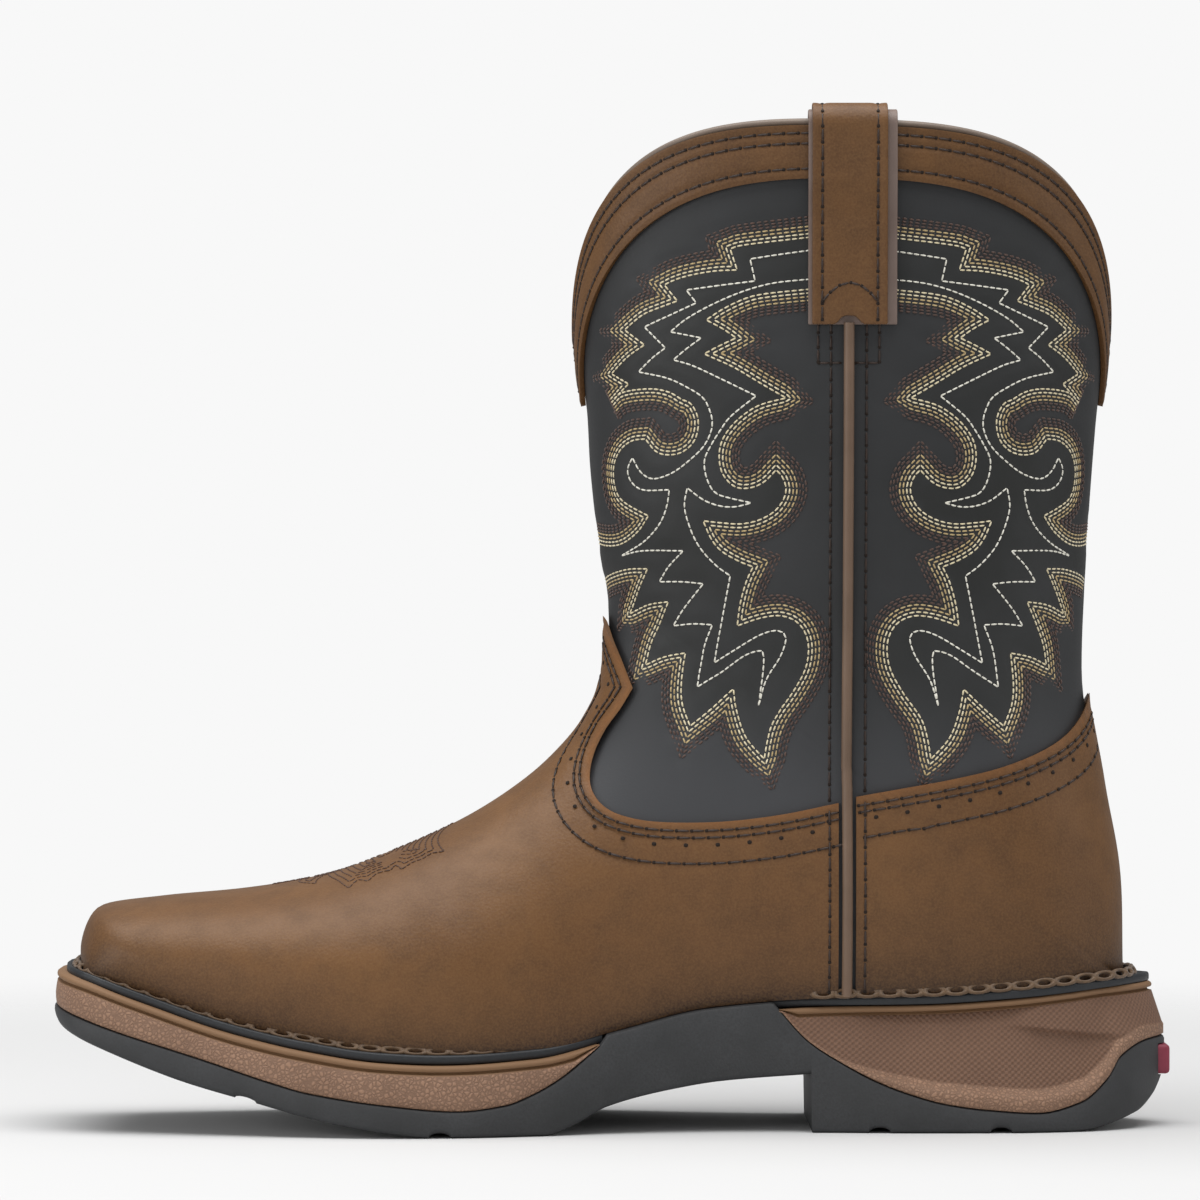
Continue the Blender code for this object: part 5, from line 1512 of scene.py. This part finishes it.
# Foam rubber: matt pinkish brown. The side is pebbled like coarse leather, with painted shade in the hollows
# between the pebbles. The lip is smooth and a little more tan, and the heel's panel carries a fine staggered
# honeycomb.
FOAM_PEBBLE = 1.2  # across, drawn a little coarse so that it shows
COMB_ACROSS, COMB_UP = 1.9, 1.6
foam, tree = new_material("brown_foam_rubber")
place = add_node(tree, "TexCoord").outputs["Object"]
pebbled = add_node(tree, "Attribute", {"attribute_name": "pebbled"}).outputs["Fac"]
combed = add_node(tree, "Attribute", {"attribute_name": "honeycomb"}).outputs["Fac"]
along = add_node(tree, "Attribute", {"attribute_name": "along_edge"}).outputs["Fac"]
up = add_node(tree, "SeparateXYZ", None, {0: place}).outputs["Z"]
warp = add_node(
    tree, "TexNoise", None, {"Vector": place, "Scale": 1 / (2.5 * MM), "Detail": 2.0}
).outputs["Color"]
shift = add_node(tree, "VectorMath", {"operation": "SCALE"}, {0: warp, "Scale": 1.4 * MM}).outputs[0]
warped = add_node(tree, "VectorMath", {"operation": "ADD"}, {0: place, 1: shift}).outputs[0]
cells = add_node(
    tree, "TexVoronoi", {"feature": "DISTANCE_TO_EDGE"}, {"Vector": warped, "Scale": 1 / (FOAM_PEBBLE * MM)}
).outputs["Distance"]
stones = add_node(
    tree, "MapRange", {"interpolation_type": "SMOOTHSTEP"}, {"Value": cells, "From Max": 0.36}
).outputs[0]
across_wave = add_node(
    tree, "Math", {"operation": "MULTIPLY"}, {0: along, 1: 2 * math.pi / COMB_ACROSS}
).outputs[0]
up_wave = add_node(
    tree, "Math", {"operation": "MULTIPLY"}, {0: up, 1: 2 * math.pi / (COMB_UP * MM)}
).outputs[0]
across_sine = add_node(tree, "Math", {"operation": "SINE"}, {0: across_wave}).outputs[0]
up_sine = add_node(tree, "Math", {"operation": "SINE"}, {0: up_wave}).outputs[0]
comb = add_node(tree, "Math", {"operation": "MULTIPLY"}, {0: across_sine, 1: up_sine}).outputs[0]
comb_height = add_node(
    tree, "MapRange", None, {"Value": comb, "From Min": -0.6, "From Max": 0.6}
).outputs[0]
stone_height = add_node(tree, "Math", {"operation": "MULTIPLY"}, {0: stones, 1: pebbled}).outputs[0]
height = add_node(
    tree, "Mix", {"data_type": "FLOAT"}, {0: combed, 2: stone_height, 3: comb_height}
).outputs[0]
cloud = add_node(
    tree, "TexNoise", None, {"Vector": place, "Scale": 1 / (14 * MM), "Detail": 4.0}
).outputs[0]
stone_tone = add_node(
    tree, "Mix", {"data_type": "RGBA"}, {0: cloud, 6: linear("#85654f"), 7: linear("#a17e66")}
).outputs[2]
comb_tone = add_node(
    tree, "Mix", {"data_type": "RGBA"}, {0: cloud, 6: linear("#694b39"), 7: linear("#7d5d48")}
).outputs[2]
tone = add_node(tree, "Mix", {"data_type": "RGBA"}, {0: combed, 6: stone_tone, 7: comb_tone}).outputs[2]
smooth_tone = add_node(
    tree, "Mix", {"data_type": "RGBA"}, {0: pebbled, 6: linear("#7c5d40"), 7: tone}
).outputs[2]
# Painted shade: the hollows between the pebbles are painted darker.
hollow = add_node(
    tree, "MapRange", None, {"Value": height, "From Max": 0.7, "To Min": 0.5, "To Max": 0.0}
).outputs[0]
in_hollow = add_node(tree, "Math", {"operation": "MULTIPLY"}, {0: hollow, 1: pebbled}).outputs[0]
shaded = add_node(
    tree, "Mix", {"data_type": "RGBA"}, {0: in_hollow, 6: smooth_tone, 7: linear("#503a2d")}
).outputs[2]
relief = add_node(tree, "Bump", None, {"Height": height, "Strength": 0.7, "Distance": 0.3 * MM}).outputs[0]
shader = add_node(
    tree, "BsdfPrincipled", None, {"Base Color": shaded, "Roughness": 0.7, "Normal": relief}
).outputs[0]
add_node(tree, "OutputMaterial", None, {"Surface": shader})
put_on_boot(midsole, foam, "brown_midsole", "midsole")


# Heel stack
# The heel's block of the same foam, moulded as a narrowing wall: a pebbled rim sweeps along its foot, the
# panel above is let in behind it, and at the back the wall swells out over the panel along a crease.

HEEL_STACK_START_X, HEEL_TOP_INSET = 44.0, 6.6
HEEL_RAND_INSET = 4.8
PANEL_DEPTH, PANEL_LEVELS = 2.1, 44
FULL_TAPER, FULL_RIM = 20.0, 4.0  # heights of wall and rim from which the taper and the panel are whole
HEEL_LIP_SHARE, RIM_SHARE, LEAST_HEIGHT = 0.4, 0.45, 0.6
# The rim's profile as inset and share of its height, then its height along x
RIM_PROFILE = ((0.15, 0.14), (0.0, 0.34), (0.05, 0.54), (0.4, 0.66), (1.2, 0.78), (2.1, 0.9), (2.8, 1.0))
HEEL_RIM = [(44.0, 0.3), (62.0, 0.6), (72.0, 2.6), (84.0, 4.6), (100.0, 6.0), (122.0, 6.2)]
HEEL_RIM += [(136.0, 5.0), (154.9, 3.0)]
# How far the wall swells out, where it grows, and where the wall is plain again
SWELL, SWELL_X, BACK_X = 1.7, (106.0, 122.0), (132.0, 150.0)
CREASE = [(105.0, 29.4), (113.0, 28.7), (125.0, 27.4), (137.0, 26.0), (154.9, 24.6)]
xs, travelled = sole_stations(HEEL_STACK_START_X, HEEL_X)
seat = welt_seat_z(xs)
foot = np.minimum(outsole_rise_z(xs) + LAYER_GAP, seat - LEAST_HEIGHT)
full = seat - foot
taper = HEEL_TOP_INSET * np.minimum(1.0, full / FULL_TAPER)
scale = np.minimum(1.0, HEEL_LIP_SHARE * full / (LIP_HEIGHT + LIP_GROOVE))
rim = np.minimum(curve_through(*np.array(HEEL_RIM).T)(xs), RIM_SHARE * full)
panel_top, panel_foot = seat - (LIP_HEIGHT + LIP_GROOVE) * scale, foot + rim + 0.6
panel_foot = np.minimum(panel_foot, panel_top - 0.1)
levels = [(1.2, foot), (0.5, foot + 0.2 * scale)]
let_in = np.minimum(1.0, rim / FULL_RIM) * (1 - soft_step(xs, *BACK_X))
levels += [(inset * let_in + 0.3 * (1 - let_in), foot + rim * share) for inset, share in RIM_PROFILE]
rim_levels = len(levels)
crease_z = curve_through(*np.array(CREASE).T)(xs)
for share in np.linspace(0, 1, PANEL_LEVELS):
    height = panel_foot + (panel_top - panel_foot) * share
    swell = SWELL * let_in * soft_step(xs, *SWELL_X) * soft_step(height - crease_z, -0.7, 0.9)
    levels.append((0.4 + taper * (0.08 + 0.66 * share) + PANEL_DEPTH * let_in - swell, height))
panel_levels = len(levels)
levels += lip_levels(seat, scale, taper * 0.76 - 0.4)
ledge = HEEL_RAND_INSET + WELT_WIDTH
levels += [(ledge, seat), (ledge, feather_z(xs) - GAP)]
loops = sole_loops(xs, levels)
on_panel = np.array([1.0 if rim_levels <= i < panel_levels else 0.0 for i in range(len(levels))])
on_wall = np.array([1.0 if i < panel_levels else 0.0 for i in range(len(levels))])
rounds = [np.broadcast_to(np.concatenate([row, row[::-1]]), loops.shape[:2]) for row in (on_panel, on_wall)]
marks = {
    "honeycomb": rounds[0],
    "pebbled": rounds[1],
    "along_edge": np.broadcast_to(np.pad(travelled, 1, "edge")[:, None], loops.shape[:2]),
}
put_on_boot(loft("heel_block", loops, marks), foam, "brown_midsole", "heel_stack")


# Outsole
# One piece of charcoal rubber: a thin sole under the forefoot, an arch that rises to the upper, and the
# heel's tread, with a chamfered edge, a rounded upper lip and shallow grooves across the tread.

TREAD = [  # x, z of its underside, with toe spring, forefoot flat and arch
    (-156.0, 32.6), (-154.2, 29.8), (-150.5, 27.2), (-140.0, 22.8), (-118.5, 14.8), (-98.0, 9.2),
    (-77.0, 3.9), (-58.0, 0.8), (-50.0, 0.0), (-18.0, 0.0), (-10.5, 2.6), (-1.0, 7.6), (15.4, 11.8),
    (30.0, 14.2), (55.0, 16.2),
]
HEEL_TREAD = [(55.0, 0.0), (128.0, 0.0), (146.0, 4.2), (151.6, 9.0), (154.0, 13.6), (154.9, 16.4)]
BREAST_X, BREAST_HALF, TREAD_CHAMFER = 55.0, 0.15, 1.5
TREAD_GROOVES, GROOVE_HALF = ((-100.8, 0.9), (-47.0, 1.4), (73.7, 1.5), (107.3, 1.5)), 3.0  # x and depth
TAB_SIZE, TAB_CENTRE = (5.4, 17.0, 8.2), (153.3, 0.0, 18.6)
ROUND_STEPS = (-1.0, -0.94, -0.8, -0.5, 0.0, 0.5, 0.8, 0.94, 1.0)  # sections across a groove, as shares
edges = [x + step * GROOVE_HALF for x, _ in TREAD_GROOVES for step in ROUND_STEPS]
xs, _ = sole_stations(TOE_X, HEEL_X, [*edges, BREAST_X - BREAST_HALF, BREAST_X + BREAST_HALF])
top = np.minimum(outsole_rise_z(xs), feather_z(xs) - GAP)
forefoot_z, heel_z = (curve_through(*np.array(line).T)(xs) for line in (TREAD, HEEL_TREAD))
under = np.where(xs < BREAST_X, forefoot_z, heel_z)
for x, depth in TREAD_GROOVES:
    under += depth * np.sqrt(np.clip(1 - ((xs - x) / GROOVE_HALF) ** 2, 0, 1))
under = np.minimum(under, top - 1.0)
chamfer = np.minimum(TREAD_CHAMFER, (top - under) * 0.5)
lip = np.minimum(1.0, (top - under) * 0.3)
levels = [(TREAD_CHAMFER, under), (0.45, under + chamfer * 0.35), (0.0, under + chamfer)]
levels += [(0.0, (under + chamfer + top - lip) / 2), (0.05, top - lip), (0.4, top - lip * 0.3), (1.3, top)]
outsole = loft("outsole_rubber", sole_loops(xs, levels))
bpy.ops.object.select_all(action="DESELECT")
bpy.ops.mesh.primitive_cube_add(size=1.0, location=[value * MM for value in TAB_CENTRE])
recess = bpy.context.object
recess.scale = [(size + 2 * GAP) * MM for size in TAB_SIZE]
apply(outsole, "BOOLEAN", operation="DIFFERENCE", object=recess, solver="EXACT")
bpy.data.objects.remove(recess)
smooth_faces(outsole, 40)

# Carbon-filled rubber: charcoal, matt, with a faint mould grain and paler, dusty patches.
RUBBER_GRAIN = 0.6
rubber, tree = new_material("charcoal_rubber")
place = add_node(tree, "TexCoord").outputs["Object"]
grain = add_node(
    tree, "TexNoise", None, {"Vector": place, "Scale": 1 / (RUBBER_GRAIN * MM), "Detail": 3.0}
).outputs[0]
cloud = add_node(
    tree, "TexNoise", None, {"Vector": place, "Scale": 1 / (18 * MM), "Detail": 5.0}
).outputs[0]
dusty = add_node(tree, "Math", {"operation": "MULTIPLY"}, {0: cloud, 1: grain}).outputs[0]
dust = add_node(tree, "MapRange", None, {"Value": dusty, "From Min": 0.12, "From Max": 0.42}).outputs[0]
tone = add_node(
    tree, "Mix", {"data_type": "RGBA"}, {0: dust, 6: linear("#222324"), 7: linear("#343537")}
).outputs[2]
gloss = add_node(tree, "MapRange", None, {"Value": grain, "To Min": 0.5, "To Max": 0.75}).outputs[0]
relief = add_node(tree, "Bump", None, {"Height": grain, "Strength": 0.4, "Distance": 0.15 * MM}).outputs[0]
shader = add_node(
    tree, "BsdfPrincipled", None, {"Base Color": tone, "Roughness": gloss, "IOR": 1.52, "Normal": relief}
).outputs[0]
add_node(tree, "OutputMaterial", None, {"Surface": shader})
put_on_boot(outsole, rubber, "dark_rubber", "outsole")


# Heel tab
# A small plain insert of dull red rubber, moulded with rounded edges and glued into a recess at the back
# of the outsole.

TAB_ROUNDING = 1.1
bpy.ops.object.select_all(action="DESELECT")
bpy.ops.mesh.primitive_cube_add(size=1.0)
tab = bpy.context.object
tab.name = tab.data.name = "heel_tab_insert"
bpy.ops.object.mode_set(mode="EDIT")
bpy.ops.transform.resize(value=[size * MM for size in TAB_SIZE])
bpy.ops.transform.translate(value=[value * MM for value in TAB_CENTRE])
bpy.ops.mesh.bevel(offset=TAB_ROUNDING * MM, segments=3)
bpy.ops.object.mode_set(mode="OBJECT")
smooth_faces(tab)

# Soft red rubber: dull, slightly uneven in tone.
red_rubber, tree = new_material("dull_red_rubber")
place = add_node(tree, "TexCoord").outputs["Object"]
cloud = add_node(tree, "TexNoise", None, {"Vector": place, "Scale": 1 / (3 * MM), "Detail": 3.0}).outputs[0]
tone = add_node(
    tree, "Mix", {"data_type": "RGBA"}, {0: cloud, 6: linear("#732335"), 7: linear("#8f3247")}
).outputs[2]
shader = add_node(tree, "BsdfPrincipled", None, {"Base Color": tone, "Roughness": 0.55}).outputs[0]
add_node(tree, "OutputMaterial", None, {"Surface": shader})
put_on_boot(tab, red_rubber, "red_rubber", "heel_tab")


# Welt and heel rand
# Strips of black welting leather laid on the midsole's and the heel's ledge. The upper is sewn down to them
# with a heavy waxed thread, which shows as a chain of loops leaning on the upper.

WELT_END_X, RAND_START_X = -1.8, 43.0
# The strip's profile as inset from its edge and share of its thickness
WELT_PROFILE = [(0.0, 0.3), (0.2, 0.08), (0.6, 0.0), (WELT_WIDTH, 0.0), (WELT_WIDTH, 1.0), (2.4, 1.0)]
WELT_PROFILE += [(1.6, 1.2), (0.9, 1.28), (0.4, 1.22), (0.1, 1.05), (0.0, 0.8)]
LOOP_PITCH, LOOP_SHARE, LOOP_SEAT = 6.2, 1.16, 0.45  # each overlaps the next, and stands half out of the seam
RAND_LOOP_POINTS = 240
# (lean back from facing straight out in degrees, width of a loop) on the welt and on the rand
LOOPS = {"welt": (42.0, 2.5), "heel_rand": (30.0, 2.9)}
WELT_LOOP_INSET = WELT_INSET + 2.5
HEEL_LOOP_OFF = (0.5, 2.8)  # off the leather at the heel's sides, and how much more at its back


def round_the_end(xs, inset, toe):
    """Plan points along the sole's edge from the inner side round the toe or the heel to the outer side."""
    inner, outer = (np.stack(sole_edge(xs, inset, side), axis=-1) for side in (-1, 1))
    return np.concatenate([inner[::-1], outer]) if toe else np.concatenate([inner, outer[::-1]])


# One loop of the chain, modelled once: a ring of thread pulled out to a long eye
bpy.ops.object.select_all(action="DESELECT")
bpy.ops.mesh.primitive_torus_add(major_segments=14, minor_segments=6, major_radius=0.78, minor_radius=0.3)
eye = bpy.context.object
LOOP_POINTS = np.array([vertex.co for vertex in eye.data.vertices])[:, [1, 2, 0]] * (1.0, 1.6, 1.06)
LOOP_FACES = [list(face.vertices) for face in eye.data.polygons]
bpy.data.objects.remove(eye)

# Welting leather: dyed black with a cold blue cast, close and slightly glossy.
black_leather, tree = new_material("black_welt_leather")
place = add_node(tree, "TexCoord").outputs["Object"]
grain = add_node(
    tree, "TexNoise", None, {"Vector": place, "Scale": 1 / (1.1 * MM), "Detail": 4.0}
).outputs[0]
tone = add_node(
    tree, "Mix", {"data_type": "RGBA"}, {0: grain, 6: linear("#0f1114"), 7: linear("#23272c")}
).outputs[2]
relief = add_node(tree, "Bump", None, {"Height": grain, "Strength": 0.3, "Distance": 0.2 * MM}).outputs[0]
shader = add_node(
    tree, "BsdfPrincipled", None, {"Base Color": tone, "Roughness": 0.48, "Normal": relief}
).outputs[0]
add_node(tree, "OutputMaterial", None, {"Surface": shader})
welt_thread = thread_material("waxed_tan_welt_thread", "#6f5436", "#43301e")

for node, start, end, inset in (
    ("welt", TOE_X, WELT_END_X, WELT_INSET),
    ("heel_rand", RAND_START_X, HEEL_X, HEEL_RAND_INSET),
):
    toe = node == "welt"
    xs, _ = sole_stations(start, end)
    rows = []
    for depth, share in WELT_PROFILE:
        plan = round_the_end(xs, inset + depth, toe)
        rows.append(np.column_stack([plan, feather_z(plan[:, 0]) - GAP / 2 - WELT_THICK * (1 - share)]))
    put_on_boot(loft(node + "_strip", np.stack(rows, axis=1)), black_leather, "black_welt", node)

    lean, width = LOOPS[node]
    if toe:
        plan = round_the_end(xs, WELT_LOOP_INSET, toe)
        outward = round_the_end(xs, WELT_LOOP_INSET - 1.0, toe) - plan
    else:
        row = np.linspace(ROW["shank"], ROW["heel_back"], RAND_LOOP_POINTS)
        behind = soft_step(row, ROW["heel_mid"], ROW["heel_curve"])
        off = OVERLAY_TOP + HEEL_LOOP_OFF[0] + HEEL_LOOP_OFF[1] * behind
        sides = [np.full_like(row, side) for side in (-1.0, 1.0)]
        feet = [(upper_point(side, row), upper_normal(side, row)) for side in sides]
        edges = [(foot + normal * off[:, None])[:, :2] for foot, normal in feet]
        plan = np.concatenate([edges[0], edges[1][-2::-1]])
        outward = np.concatenate([feet[0][1], feet[1][1][-2::-1]])[:, :2]
    path = np.column_stack([plan, feather_z(plan[:, 0]) + width * LOOP_SEAT])
    outward /= np.linalg.norm(outward, axis=1, keepdims=True)
    tilt = math.radians(lean)
    facing = np.column_stack([outward * math.cos(tilt), np.full(len(plan), math.sin(tilt))])
    places = stitch_places(path, facing, LOOP_PITCH, LOOP_SHARE)
    put_on_boot(joined_copies(node + "_thread", LOOP_POINTS, LOOP_FACES, places, width, width), welt_thread)


# Insole
# A sock of tan leather on the insole board, seen at the bottom of the boot. It keeps the CAD's shape, with
# its edge rounded over.

SOCK_ROUNDING = 0.6
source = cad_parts["insole"]
insole = source.copy()
insole.data = source.data.copy()
insole.name = insole.data.name = "insole_sock"
for key in list(insole.keys()):
    del insole[key]
bpy.context.scene.collection.objects.link(insole)
weld(insole)
apply(insole, "BEVEL", width=SOCK_ROUNDING * MM, segments=2, limit_method="ANGLE", angle_limit=CUT_CORNER)
smooth_faces(insole, 40)

# Sock leather: tan, matt, with a fine grain.
sock, tree = new_material("tan_sock_leather")
place = add_node(tree, "TexCoord").outputs["Object"]
grain = add_node(
    tree, "TexNoise", None, {"Vector": place, "Scale": 1 / (0.9 * MM), "Detail": 3.0}
).outputs[0]
tone = add_node(
    tree, "Mix", {"data_type": "RGBA"}, {0: grain, 6: linear("#86643f"), 7: linear("#a98457")}
).outputs[2]
relief = add_node(tree, "Bump", None, {"Height": grain, "Strength": 0.3, "Distance": 0.15 * MM}).outputs[0]
shader = add_node(
    tree, "BsdfPrincipled", None, {"Base Color": tone, "Roughness": 0.75, "Normal": relief}
).outputs[0]
add_node(tree, "OutputMaterial", None, {"Surface": shader})
put_on_boot(insole, sock, "tan_insole", "insole")
